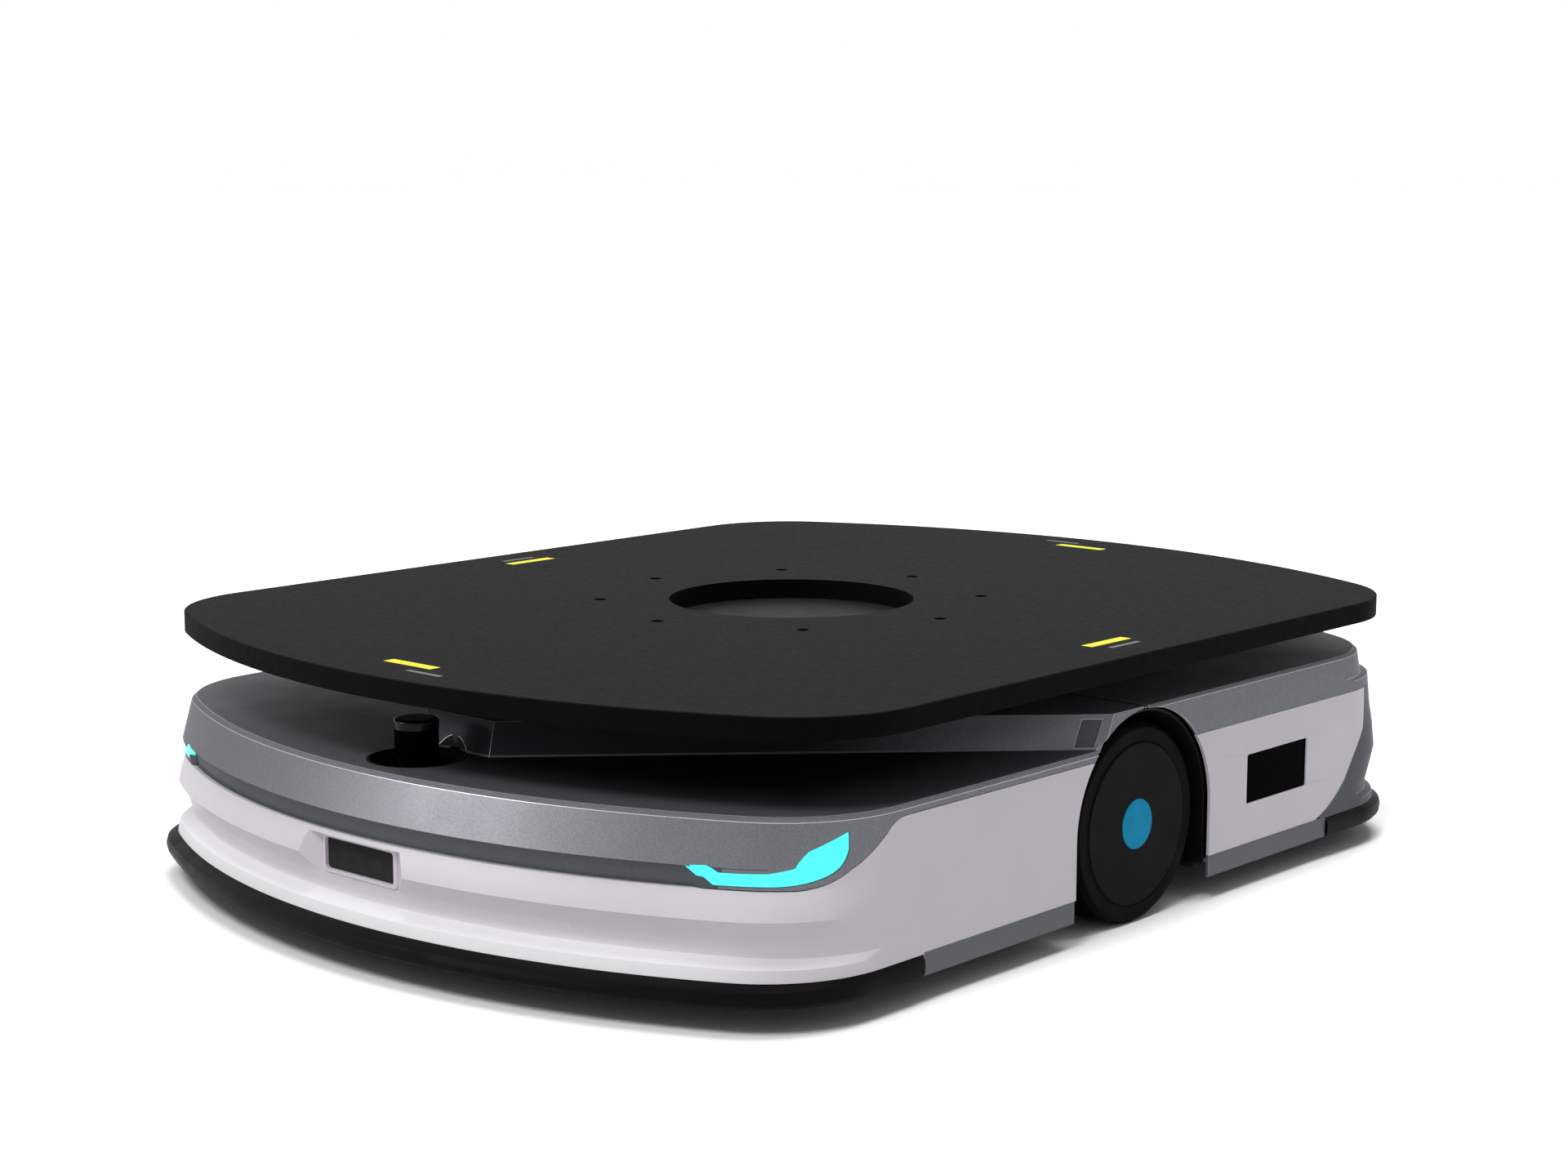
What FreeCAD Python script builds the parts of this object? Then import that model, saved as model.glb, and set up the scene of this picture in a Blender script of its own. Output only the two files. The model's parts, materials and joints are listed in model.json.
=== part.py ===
"""Autonomous mobile robot of the lifting kind: a flat, low vehicle with two driven wheels, four swivel
casters and a load deck that a pair of screw jacks raises and a slewing ring turns.

Millimetres. +X is forward, +Y the robot's left, +Z up. The origin lies on the floor, midway between
the two drive wheels. Left and right are mirror images; the shell repeats fore and aft, apart from its
two noses. Each piece is written to parts/NODE.step.
"""
import FreeCAD, Part
import math
import os

from FreeCAD import Vector

os.makedirs("parts", exist_ok=True)

# ---------------------------------------------------------------- driving dimensions
# Clearances.
SEAM = 0.6             # open joint between two mouldings
SEAT = 0.3             # between a piece and what it sits on or in
RUNNING = 0.05         # radial clearance of a shaft in its bearing
UNIT_GAP = 5.0         # free room beside a boxed unit in the chassis

# Load deck.
DECK_LENGTH = 1000.0
DECK_WIDTH = 800.0
DECK_BOW = 117.0       # how far the deck's ends bulge beyond its corners
DECK_CORNER_R = 114.0
DECK_THICKNESS = 18.0
DECK_TOP_Z = 232.0
DECK_EDGE_CHAMFER = 0.8
DECK_BORE_R = 111.0
DECK_BOLT_CIRCLE_R = 173.0
DECK_BOLT_COUNT = 8
DECK_BOLT_HOLE_R = 5.5
MARKER_LENGTH = 56.0
MARKER_WIDTH = 11.0
MARKER_THICKNESS = 0.4  # laid into the deck, so that loads slide over them
MARKER_EDGE_GAP = 47.0

# Shell.
HALF_WIDTH = 390.0
NOSE_REACH = 520.0     # from the middle to the foot of either nose
NOSE_BOW = 117.0
NOSE_CORNER_R = 112.0
WALL = 3.0
SIDE_LEAN = 2.0        # the high middle's sides lean in by this
TOP_DRAFT = 2.5        # the covers' top edge lies in by this
SILL_BOTTOM_Z = 21.0
SILL_SETBACK = 1.0     # behind the white panels' face
SILL_FLANGE = 24.0
SILL_TOP_Z = 40.0
COVER_BOTTOM_Z = 38.6
BAND_BOTTOM_Z = 105.0  # dark band between the lower and the upper front cover
BAND_HEIGHT = 16.0
BAND_THICKNESS = 2.5
BAND_LAP = 5.0         # hidden behind the covers, above and below
BAND_END_SETBACK = 80.0
SHOULDER_GAP = 30.0    # from the top of the shell up to the deck
LEDGE_DROP = 27.0      # from the top of the shell down to the low front ledge
LEDGE_ROLL = 3.5       # height of the rolled front edge of the ledge
BELT_DROP = 8.0        # from the ledge down to the top of the white side panels
COVER_OPENING_GAP = 6.0  # round the lift's drum
COVER_JOINT = 6.0      # between the front and the rear upper cover
JOINT_FLANGE = 10.0    # of the strip that closes it, under each cover
JOINT_SUNK = 1.5
FLANK_START_X = 66.0   # where the flank of the high middle leaves the side
FLANK_NOSE_GAP = 32.0  # from the scanner back to the point where the flanks meet the nose
FLANK_NOSE_Y = 46.0
FLANK_ROOT = 12.0      # how far the flanks reach below the ledge
FLANK_LEAN = 23.0
INSERT_START = 4.5     # small dark inserts in the flanks, beside the arches
INSERT_WIDTH = 16.0
INSERT_HEIGHT = 20.5
INSERT_ABOVE_LEDGE = 2.0
INSERT_SLANT = 8.0
INSERT_THICKNESS = 2.0
INSERT_SUNK = 0.6
TOE_SETBACK = 252.0    # from the nose back to the foot of the rear panel's swept edge
TOE_COVER_SETBACK = 244.0

# Rubber bumpers round the noses.
BUMPER_OVERHANG = 12.0
BUMPER_PROUD = 1.5     # beyond the shell's side
BUMPER_DEPTH = 14.0
BUMPER_TOP_Z = 38.0
BUMPER_SETBACK = 232.0  # from the nose back to the bumper's ends

# Windows in the rear side panels.
SIDE_WINDOW_FROM_ARCH = 57.0
SIDE_WINDOW_LENGTH = 97.0
SIDE_WINDOW_BOTTOM_Z = 75.0
SIDE_WINDOW_HEIGHT = 43.0
SIDE_WINDOW_CORNER_R = 2.0
SIDE_WINDOW_SUNK = 1.5
SIDE_WINDOW_FLANGE = 6.0
WINDOW_FLANGE_THICKNESS = 1.5

# Drive wheels and their arches.
WHEEL_R = 84.0
TYRE_DEPTH = 15.5
TYRE_SHOULDER = 4.0
TYRE_SETBACK = 1.0     # the hub's face stands proud of the tyre
WHEEL_WIDTH = 46.0
WHEEL_SETBACK = 8.5    # the hub's face lies inside the shell's side
HUB_RIM = 6.0
HUB_FACE = 14.0
HUB_BOSS = 12.0
HUB_CHAMFER = 1.5
HUB_CAP_R = 21.0
HUB_CAP_DEPTH = 3.0
HUB_CAP_PROUD = 0.6
ARCH_R = 96.0
ARCH_Z = 86.0
LINER_WALL = 2.4
LINER_INSET = 1.0
LINER_HOLE_GAP = 8.0   # round the gear case
LINER_GAP = 4.0        # from the swing arm to the liner's inner wall
SPINDLE_R = 14.0
SPINDLE_END = 10.0     # behind the hub's face
GEAR_CASE_R = 42.0     # reaches through the arch liner
GEAR_CASE_GAP = 3.0
MOTOR_R = 36.0
MOTOR_DRUM_GAP = 12.0
MOTOR_CAP = 4.0
MOTOR_CAP_STEP = 6.0
DRIVE_NECK_R = 30.0    # where the gearmotor goes through the swing arm
ARM_WHEEL_GAP = 23.5
ARM_THICKNESS = 12.0
ARM_EYE_R = 42.0       # clears the chassis plate when the arm hangs lowest
ARM_PIVOT_X = 118.0
ARM_PIVOT_Z = 66.0
ARM_PIVOT_EYE_R = 20.0
ARM_WEB_STEP = 8.0     # the web is narrower than the eyes
PIVOT_R = 10.0
PIVOT_HOUSING_R = 24.0
PIVOT_HOUSING_LENGTH = 42.0
PIVOT_SHAFT_END = 2.0

# Casters.
CASTER_SETBACK = 190.0  # from the nose back to the king pin
CASTER_SIDE_GAP = 145.0  # from the shell's side in to the king pin
CASTER_WHEEL_R = 35.0
CASTER_WHEEL_WIDTH = 28.0
CASTER_TRAIL = 25.0
CASTER_HEAD_Z = 100.0
CASTER_WELL_R = 67.0
CASTER_PLATE_HALF = 40.0
CASTER_PLATE_THICKNESS = 4.0
CASTER_PLATE_CORNER_R = 6.0
BRIDGE_WALL = 4.0
BRIDGE_FOOT = 16.0
CASTER_CUP_R = 28.0
CASTER_CUP_HEIGHT = 12.0
CASTER_CUP_CHAMFER = 1.5
CASTER_CHEEK = 4.0
CASTER_CHEEK_GAP = 0.6
CASTER_EYE_R = 10.0
CASTER_AXLE_R = 5.0
CASTER_AXLE_END = 3.0
CASTER_HUB_R = 14.0
CASTER_DISH = 3.0
CASTER_TREAD = 8.0
CASTER_CROWN = 2.5
KING_PIN_R = 8.0
KING_PIN_HEAD_R = 13.0
KING_PIN_HEAD_HEIGHT = 4.0

# Chassis.
BASE_BOTTOM_Z = 28.0
BASE_THICKNESS = 5.0
POST_TUBE = 20.0       # square tubes that carry the covers
POST_TUBE_WALL = 2.0
POST_END_GAP = 65.0
POST_CASTER_GAP = 95.0
POST_SIDE_GAP = 90.0
POST_REAR_Y = 90.0
POST_FRONT_Y = 120.0
BATTERY_NOSE_GAP = 90.0
BATTERY_SCREW_GAP = 40.0
BATTERY_CORNER_R = 8.0
BATTERY_TOP_Z = 138.0
BATTERY_HANDLE_R = 26.0
BATTERY_HANDLE_BAR = 6.0
BATTERY_HANDLE_WIDTH = 16.0
CONTROLLER_NOSE_GAP = 120.0
CONTROLLER_SCREW_GAP = 42.0
CONTROLLER_TOP_Z = 104.0
DRIVE_UNIT_TOP_Z = 84.0
DRIVE_UNIT_LENGTH = 146.0
DRIVE_UNIT_ARM_GAP = 18.0
DRIVE_UNIT_GUIDE_GAP = 52.0
DRIVE_UNIT_MOTOR_GAP = 42.0
FIN_THICKNESS = 3.0
FIN_HEIGHT = 12.0
FIN_PITCH = 20.0
FIN_MARGIN = 8.0

# Lift and slewing drive.
DRUM_R = 200.0
DRUM_WALL = 8.0
CARRIAGE_THICKNESS = 10.0
CARRIAGE_MARGIN = 25.0  # beyond the posts
CARRIAGE_CORNER_R = 12.0
CARRIAGE_HOLE_R = 150.0
CARRIAGE_BOSS = 8.0
CARRIAGE_BOSS_DEPTH = 14.0
CARRIAGE_DEPTH = 67.0  # from the roof's top down to the carriage's underside
ROOF_THICKNESS = 10.0
ROOF_CABLE_R = 45.0
ROOF_CABLE_X = -60.0
SCREW_DRUM_GAP = 12.0
SCREW_R = 10.0
NUT_R = 15.0
NUT_LENGTH = 20.0
NUT_FLANGE_R = 20.0
NUT_FLANGE = 5.0
GUIDE_Y = 130.0
GUIDE_R = 10.0
GUIDE_FOOT_R = 20.0
GUIDE_FOOT = 8.0
GUIDE_TOP_GAP = 6.0    # below the top of the shell
JACK_HALF_LENGTH = 24.0
JACK_HALF_WIDTH = 28.0
JACK_TOP_Z = 62.0
JACK_CORNER_R = 4.0
JACK_MOTOR_R = 13.0
JACK_MOTOR_REACH = 95.0
SCREW_HOLE_GAP = 1.0   # in the carriage plate
SCREW_FLOOR = 4.0      # under the screw, in its gearbox
RACE_R = 170.0         # joint between the fixed and the turning race
RACE_BELOW_DECK = 22.0
RACE_HEIGHT = 27.0
RACE_OUTER_GAP = 2.0   # inside the drum's edge
RACE_STEP = 3.0        # the fixed race is lower than the turning one
RING_TEETH = 60
PINION_TEETH = 17
GEAR_MODULE = 5.0
PRESSURE_ANGLE = math.radians(20)
BACKLASH = 0.5
TOOTH_ROOT = 1.25      # depth below and height above the pitch circle, in modules
PINION_TIP = 0.9
PINION_FLOOR = 2.0     # above the roof
PINION_SHAFT_R = 8.0
PINION_SHAFT_DEPTH = 4.0
TURN_MOTOR_R = 34.0
TURN_MOTOR_DROP = 8.0  # below the carriage
TURN_BOSS_R = 16.0
FLANGE_R = 190.0
FLANGE_PLATE = 8.0
NECK_R = 166.0
NECK_WALL = 12.0
DECK_SCREW_R = 4.0
DECK_SCREW_HEAD_R = 6.8
DECK_SCREW_HEAD = 4.0
DECK_SCREW_DEPTH = 12.0

# Scanner, camera and corner lights.
SCANNER_SETBACK = 76.0
SCANNER_R = 18.0
SCANNER_DECK_GAP = 25.0
SCANNER_TOP_ROLL = 2.5
SCANNER_BASE = 12.0    # below its window
SCANNER_CAP = 8.0      # above its window
SCANNER_SHELL = 2.5
SCANNER_WINDOW_SUNK = 0.4
POCKET_R = 40.0
POCKET_DEPTH = 9.0
POCKET_FLOOR_MARGIN = 8.0
POCKET_RIM = 2.0
POCKET_LIP = 5.0
CAMERA_SETBACK = 18.0
CAMERA_HALF_WIDTH = 41.0
CAMERA_HEIGHT = 25.0
CAMERA_BELOW_BAND = 8.0
CAMERA_CORNER_R = 3.0
CAMERA_GLASS = 3.0
CAMERA_RIM = 4.0       # raised frame round the glass
CAMERA_RIM_PROUD = 2.0
CAMERA_BARREL_R = 7.0
RECESS_SUNK = 1.0      # the flared recess lies so far before the glass
RECESS_FLARE = 1.5     # how far its sides run out for each millimetre of depth
MODULE_DEPTH = 22.0
MODULE_MARGIN = 3.0
MODULE_FOOT = 6.0
LENS_SUNK = 0.4

# ---------------------------------------------------------------- worked-out sizes
DECK_BOTTOM_Z = DECK_TOP_Z - DECK_THICKNESS
SHOULDER_Z = DECK_BOTTOM_Z - SHOULDER_GAP
LEDGE_Z = SHOULDER_Z - LEDGE_DROP
BELT_LINE_Z = LEDGE_Z - BELT_DROP
BAND_TOP_Z = BAND_BOTTOM_Z + BAND_HEIGHT
FLANK_FOOT_Z = LEDGE_Z - FLANK_ROOT
BAND_END_X = NOSE_REACH - BAND_END_SETBACK
UNDER_SHOULDER_Z = SHOULDER_Z - WALL - SEAT
UNDER_LEDGE_Z = LEDGE_Z - WALL - SEAT
COVER_OPENING_R = DRUM_R + COVER_OPENING_GAP

BUMPER_REACH = NOSE_REACH + BUMPER_OVERHANG
BUMPER_HALF_WIDTH = HALF_WIDTH + BUMPER_PROUD
BUMPER_END_X = NOSE_REACH - BUMPER_SETBACK
BASE_REACH = BUMPER_REACH - BUMPER_DEPTH - SEAT
BASE_HALF_WIDTH = BUMPER_HALF_WIDTH - BUMPER_DEPTH - SEAT
BASE_CORNER_R = NOSE_CORNER_R - BUMPER_DEPTH
BASE_TOP_Z = BASE_BOTTOM_Z + BASE_THICKNESS
FLOOR_SEAT_Z = BASE_TOP_Z + SEAT

WHEEL_FACE_Y = HALF_WIDTH - WHEEL_SETBACK
WHEEL_INNER_Y = WHEEL_FACE_Y - WHEEL_WIDTH
HUB_R = WHEEL_R - TYRE_DEPTH
ARM_OUTER_Y = WHEEL_INNER_Y - ARM_WHEEL_GAP
ARM_INNER_Y = ARM_OUTER_Y - ARM_THICKNESS
MOTOR_INNER_Y = DRUM_R + MOTOR_DRUM_GAP
LINER_R = ARCH_R - LINER_INSET
LINER_INNER_Y = ARM_OUTER_Y + LINER_GAP
LINER_OUTER_Y = HALF_WIDTH - WALL - SIDE_LEAN - SEAT

CASTER_X = NOSE_REACH - CASTER_SETBACK
CASTER_Y = HALF_WIDTH - CASTER_SIDE_GAP
CASTER_PLATE_Z = CASTER_HEAD_Z - SEAT - CASTER_PLATE_THICKNESS
KING_PIN_HEAD_Z = CASTER_PLATE_Z - CASTER_CUP_HEIGHT - 2 * SEAT
BRIDGE_HALF = CASTER_WELL_R + 1.0
UNIT_HALF_WIDTH = CASTER_Y - BRIDGE_HALF - BRIDGE_WALL - UNIT_GAP   # between the casters' bridges

ROOF_TOP_Z = DECK_BOTTOM_Z - RACE_BELOW_DECK - RACE_HEIGHT
ROOF_BOTTOM_Z = ROOF_TOP_Z - ROOF_THICKNESS
RACE_TOP_Z = ROOF_TOP_Z + RACE_HEIGHT
CARRIAGE_BOTTOM_Z = ROOF_TOP_Z - CARRIAGE_DEPTH
CARRIAGE_TOP_Z = CARRIAGE_BOTTOM_Z + CARRIAGE_THICKNESS
SCREW_X = DRUM_R + SCREW_R + SCREW_DRUM_GAP
GUIDE_TOP_Z = SHOULDER_Z - GUIDE_TOP_GAP
PINION_X = GEAR_MODULE * (RING_TEETH - PINION_TEETH) / 2

SCANNER_X = NOSE_REACH - SCANNER_SETBACK
SCANNER_TOP_Z = DECK_BOTTOM_Z - SCANNER_DECK_GAP
POCKET_Z = LEDGE_Z - POCKET_DEPTH
FLANK_NOSE_X = SCANNER_X - FLANK_NOSE_GAP
CAMERA_FACE_X = NOSE_REACH - CAMERA_SETBACK
CAMERA_TOP_Z = BAND_BOTTOM_Z - CAMERA_BELOW_BAND
CAMERA_BOTTOM_Z = CAMERA_TOP_Z - CAMERA_HEIGHT
FAR = NOSE_REACH + 200.0   # beyond every piece, for cutting tools


def nose_profile(low, high, steps):
    """Stations of a nose: shares of the height from low to high, each with its set-back from the foot."""
    return [(low + share * (high - low), NOSE_REACH - back) for share, back in steps]


# The front nose swells out of a concave band to the camera's bulge, and rolls back at the ledge.
FRONT_NOSE = nose_profile(COVER_BOTTOM_Z, BAND_BOTTOM_Z, [
    (0.0, 0.0), (0.14, 2.5), (0.23, 16.5), (0.44, 13.0), (0.67, 2.5), (0.85, 5.5), (1.0, 10.5),
])
FRONT_NOSE += nose_profile(BAND_TOP_Z, LEDGE_Z - LEDGE_ROLL, [(0.0, 8.0), (1.0, 19.0)])
FRONT_NOSE.append((LEDGE_Z, NOSE_REACH - 22.5))

# The rear nose has a lip, a soft swell and a step below its top.
REAR_NOSE = nose_profile(COVER_BOTTOM_Z, SHOULDER_Z, [
    (0.0, 0.0), (0.05, 2.5), (0.085, 15.0), (0.135, 14.5), (0.245, 6.5), (0.335, 0.5), (0.49, 5.0),
    (0.615, 11.0), (0.82, 16.5), (0.84, 30.0), (0.98, 36.5), (1.0, 39.5),
])


# ---------------------------------------------------------------- helpers
def box(x0, x1, y0, y1, z0, z1):
    """A box between two corners, in any order."""
    low = Vector(min(x0, x1), min(y0, y1), min(z0, z1))
    return Part.makeBox(abs(x1 - x0), abs(y1 - y0), abs(z1 - z0), low)


def rod(radius, start, end):
    """A round bar from start to end."""
    start, end = Vector(*start), Vector(*end)
    return Part.makeCylinder(radius, (end - start).Length, start, end - start)


def ring(outer, inner, start, end):
    """A tube from start to end; the bore runs out past both faces."""
    start, end = Vector(*start), Vector(*end)
    past = (end - start).normalize()
    return rod(outer, start, end).cut(rod(inner, start - past, end + past))


def mirrored(shape):
    """The same piece on the robot's right."""
    return shape.mirror(Vector(0, 0, 0), Vector(0, 1, 0))


def pair(shape):
    return Part.makeCompound([shape, mirrored(shape)])


def turned_about(shape):
    """The piece turned half a turn, from the front nose to the rear one."""
    turned = shape.copy()
    turned.rotate(Vector(0, 0, 0), Vector(0, 0, 1), 180)
    return turned


def rounded_box(x0, x1, y0, y1, z0, z1, radius, along):
    """A box with its four edges along one axis rounded."""
    solid = box(x0, x1, y0, y1, z0, z1)
    axis = {"x": Vector(1, 0, 0), "y": Vector(0, 1, 0), "z": Vector(0, 0, 1)}[along]
    edges = [e for e in solid.Edges if e.tangentAt(e.FirstParameter).cross(axis).Length < 1e-6]
    return solid.makeFillet(radius, edges)


def outline(z, reach, half_width, bow, corner_r, closed_at_middle=True):
    """Plan outline of one end at height z: a bowed front, two round corners, and straight sides back to
    the middle."""
    bow_r = (half_width ** 2 + bow ** 2) / (2 * bow)
    bow_x = reach - bow_r
    corner_y = half_width - corner_r
    corner_x = bow_x + math.sqrt((bow_r - corner_r) ** 2 - corner_y ** 2)
    angle = math.atan2(corner_y, corner_x - bow_x)
    half = (angle + math.pi / 2) / 2

    def at(x, y):
        return Vector(x, y, z)

    def corner(turn, side):
        return at(corner_x + corner_r * math.cos(turn), side * (corner_y + corner_r * math.sin(turn)))

    left_end, left_bow = corner(math.pi / 2, 1), corner(angle, 1)
    right_end, right_bow = corner(math.pi / 2, -1), corner(angle, -1)
    edges = [
        Part.LineSegment(at(0, half_width), left_end).toShape(),
        Part.Arc(left_end, corner(half, 1), left_bow).toShape(),
        Part.Arc(left_bow, at(reach, 0), right_bow).toShape(),
        Part.Arc(right_bow, corner(half, -1), right_end).toShape(),
        Part.LineSegment(right_end, at(0, -half_width)).toShape(),
    ]
    if closed_at_middle:
        edges.append(Part.LineSegment(at(0, -half_width), at(0, half_width)).toShape())
    return Part.Wire(edges)


def nose_block(levels, inset=0.0, half_width=HALF_WIDTH, top_taper=0.0):
    """A solid end of the shell, through the outline at each (height, reach). inset shrinks it all round."""
    wires = []
    for number, (z, reach) in enumerate(levels):
        side = half_width - inset - (top_taper if number == len(levels) - 1 else 0.0)
        wires.append(outline(z, reach - inset, side, NOSE_BOW, NOSE_CORNER_R - inset))
    return Part.makeLoft(wires, True, True)


def slab(z0, z1, reach, half_width, bow, corner_r):
    """A flat plate with the full outline, front and rear alike."""
    half = outline(z0, reach, half_width, bow, corner_r, closed_at_middle=False)
    wire = Part.Wire(half.Edges + turned_about(half).Edges)
    return Part.Face(wire).extrude(Vector(0, 0, z1 - z0))


def side_prism(edges, y0=-FAR, y1=FAR):
    """Everything between two Y planes whose side view lies inside the closed run of XZ edges."""
    face = Part.Face(Part.Wire(edges))
    face.translate(Vector(0, y0, 0))
    return face.extrude(Vector(0, y1 - y0, 0))


def side_line(*points):
    """Straight XZ edges from point to point."""
    places = [Vector(x, 0, z) for x, z in points]
    return [Part.LineSegment(a, b).toShape() for a, b in zip(places, places[1:])]


def side_arc(a, b, c):
    return Part.Arc(*(Vector(x, 0, z) for x, z in (a, b, c))).toShape()


def plan_prism(points, z0, z1):
    corners = [Vector(x, y, z0) for x, y in points]
    return Part.Face(Part.makePolygon(corners + corners[:1])).extrude(Vector(0, 0, z1 - z0))


def drafted_prism(low, z0, high, z1):
    """A prism whose outline changes from low at z0 to high at z1."""
    wires = []
    for points, z in ((low, z0), (high, z1)):
        corners = [Vector(x, y, z) for x, y in points]
        wires.append(Part.makePolygon(corners + corners[:1]))
    return Part.makeLoft(wires, True, True)


def save(name, shape):
    """Writes one node. A group of solids stays a group."""
    solids = shape.Solids
    assert solids and all(s.isValid() for s in solids), name
    kept = solids[0] if len(solids) == 1 else Part.makeCompound(solids)
    kept.exportStep(f"parts/{name}.step")
    print(f"{name}: {len(solids)} solid(s), {sum(s.Volume for s in solids) / 1000:.1f} cm3")


# ---------------------------------------------------------------- shell: shared tools
def arch_cut(radius, side_y0, side_y1):
    """The wheel arch in side view: a half round over straight legs, down past the sill."""
    half_round = side_arc((-radius, ARCH_Z), (0, ARCH_Z + radius), (radius, ARCH_Z))
    legs = side_line((radius, ARCH_Z), (radius, 0), (-radius, 0), (-radius, ARCH_Z))
    return side_prism([half_round] + legs, side_y0, side_y1)


def belt_curve(drop=0.0):
    """Side view of what lies below the joint between the white lower cover and the silver upper one.
    Low across the nose, it sweeps up round the corner to the belt line."""
    band, belt = BAND_BOTTOM_Z - drop, BELT_LINE_Z - drop
    low, turn = (NOSE_REACH - 120, band), (NOSE_REACH - 155, band + 13)
    crest, level = (NOSE_REACH - 194, belt - 5), (NOSE_REACH - 211, belt)
    edges = side_line((FAR, 0), (FAR, band), low)
    edges.append(side_arc(low, (NOSE_REACH - 138, band + 4), turn))
    edges.append(side_arc(turn, (NOSE_REACH - 174, band + 23.5), crest))
    edges.append(side_arc(crest, (NOSE_REACH - 202, belt - 1.3), level))
    edges += side_line(level, (-1, belt), (-1, 0), (FAR, 0))
    return side_prism(edges)


def plateau(inset=0.0):
    """The high middle of the front cover. Its flanks run back from the scanner at 45 degrees, so that
    the scanner sees three quarters of a circle past them."""
    side = HALF_WIDTH - inset
    start_x = FLANK_START_X - inset
    nose_x, nose_y = FLANK_NOSE_X - inset, FLANK_NOSE_Y - inset / 2
    low = [(0, side), (start_x, side), (nose_x, nose_y)]
    high = [(0, side - SIDE_LEAN), (start_x + SIDE_LEAN - FLANK_LEAN, side - SIDE_LEAN)]
    high.append((nose_x - FLANK_LEAN * 0.6, nose_y - FLANK_LEAN * 0.25))
    for half in (low, high):
        half += [(x, -y) for x, y in reversed(half)]
    return drafted_prism(low, FLANK_FOOT_Z, high, SHOULDER_Z - inset)


def flank_point(along, z, depth=0.0):
    """A point of the left flank: along it from the side, at a height, and so deep below its face."""
    start = Vector(FLANK_START_X, HALF_WIDTH, FLANK_FOOT_Z)
    run = (Vector(FLANK_NOSE_X, FLANK_NOSE_Y, FLANK_FOOT_Z) - start).normalize()
    top = Vector(FLANK_START_X + SIDE_LEAN - FLANK_LEAN, HALF_WIDTH - SIDE_LEAN, SHOULDER_Z)
    outward = run.cross(top - start).normalize()
    if outward.x < 0:
        outward = outward * -1
    rise = outward.cross(run).normalize()
    if rise.z < 0:
        rise = rise * -1
    return start + run * along + rise * ((z - FLANK_FOOT_Z) / rise.z) - outward * depth


def flank_inserts(grow=0.0, face_depth=INSERT_SUNK):
    """Small dark inserts in the flanks, beside the wheel arches and slanted like the arch's edge."""
    low, near = LEDGE_Z + INSERT_ABOVE_LEDGE, INSERT_START
    high, far = low + INSERT_HEIGHT, INSERT_START + INSERT_WIDTH
    places = [
        (near - grow, low - grow), (far + grow, low - grow),
        (far - INSERT_SLANT + grow, high + grow), (near - INSERT_SLANT - grow, high + grow),
    ]
    front = [flank_point(along, z, face_depth) for along, z in places]
    step = flank_point(0, low, INSERT_SUNK + INSERT_THICKNESS) - flank_point(0, low, face_depth)
    return pair(Part.Face(Part.makePolygon(front + front[:1])).extrude(step))


def light_outline(grow=0.0):
    """Side view of one corner light: a thin strip along the band that flicks up round the corner.
    Each point is set back from the nose's foot and stands above the band's lower edge."""
    def at(back, rise):
        return NOSE_REACH - back, BAND_BOTTOM_Z + rise

    tip, end = at(75 - grow, 16.5 + grow), at(84, 2.7 - grow)
    heel, middle = at(117, 16.5 + grow), at(104, 3.0 - grow)
    crest, side = at(155 + grow, 40 + grow), at(154 + grow, 28)
    low = at(137 + grow, 9.5 - grow)
    edges = side_line(tip, at(81, 17.3 + grow), at(85, 12.3 + grow), at(104, 12.8 + grow), heel)
    edges.append(side_arc(heel, at(121, 22 + grow), at(127, 28 + grow)))
    edges += side_line(at(127, 28 + grow), crest, side)
    edges.append(side_arc(side, at(148.5 + grow, 18 - grow), low))
    edges.append(side_arc(low, at(121, 4.6 - grow), middle))
    return edges + side_line(middle, end, tip)


# ---------------------------------------------------------------- shell: front
def camera_recess(grow=0.0):
    """Recess in the bulge with flared sides, which the camera looks out of. Grown, it is the room that
    the wall behind it takes."""
    floor_x = CAMERA_FACE_X + RECESS_SUNK - grow
    half = CAMERA_HALF_WIDTH + CAMERA_RIM + grow
    run = RECESS_FLARE * (FAR - floor_x)
    corners = [(floor_x, half), (FAR, half + run), (FAR, -half - run), (floor_x, -half)]
    return plan_prism(corners, CAMERA_BOTTOM_Z - CAMERA_RIM - grow, CAMERA_TOP_Z + CAMERA_RIM + grow)


def camera_plate(x0, x1, grow, corner_r):
    """A plate the shape of the camera's glass, grown all round."""
    half = CAMERA_HALF_WIDTH + grow
    return rounded_box(x0, x1, -half, half, CAMERA_BOTTOM_Z - grow, CAMERA_TOP_Z + grow, corner_r, "x")


def camera_frame():
    """Raised frame round the camera's glass, with a softened front edge."""
    front = CAMERA_FACE_X + RECESS_SUNK + CAMERA_RIM_PROUD
    frame = camera_plate(CAMERA_FACE_X - WALL, front, CAMERA_RIM, CAMERA_CORNER_R + CAMERA_RIM / 2)
    return frame.makeChamfer(CAMERA_RIM_PROUD / 2, [e for e in frame.Edges if e.BoundBox.XMin > front - SEAT])


def front_lower_cover():
    """White moulding that wraps the front and both sides back to the wheel arches."""
    solid = nose_block(FRONT_NOSE)
    backing = camera_recess(WALL).common(solid)
    cover = solid.cut(nose_block(FRONT_NOSE, WALL)).fuse(backing)
    cover = cover.cut(camera_recess()).fuse(camera_frame())
    cover = cover.cut(camera_plate(CAMERA_FACE_X - 2 * WALL, FAR, SEAT, CAMERA_CORNER_R))
    cover = cover.common(belt_curve(SEAM))
    cover = cover.cut(box(0, BUMPER_END_X, -FAR, FAR, 0, SILL_TOP_Z))
    return cover.cut(arch_cut(ARCH_R, -FAR, FAR)).removeSplitter()


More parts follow.
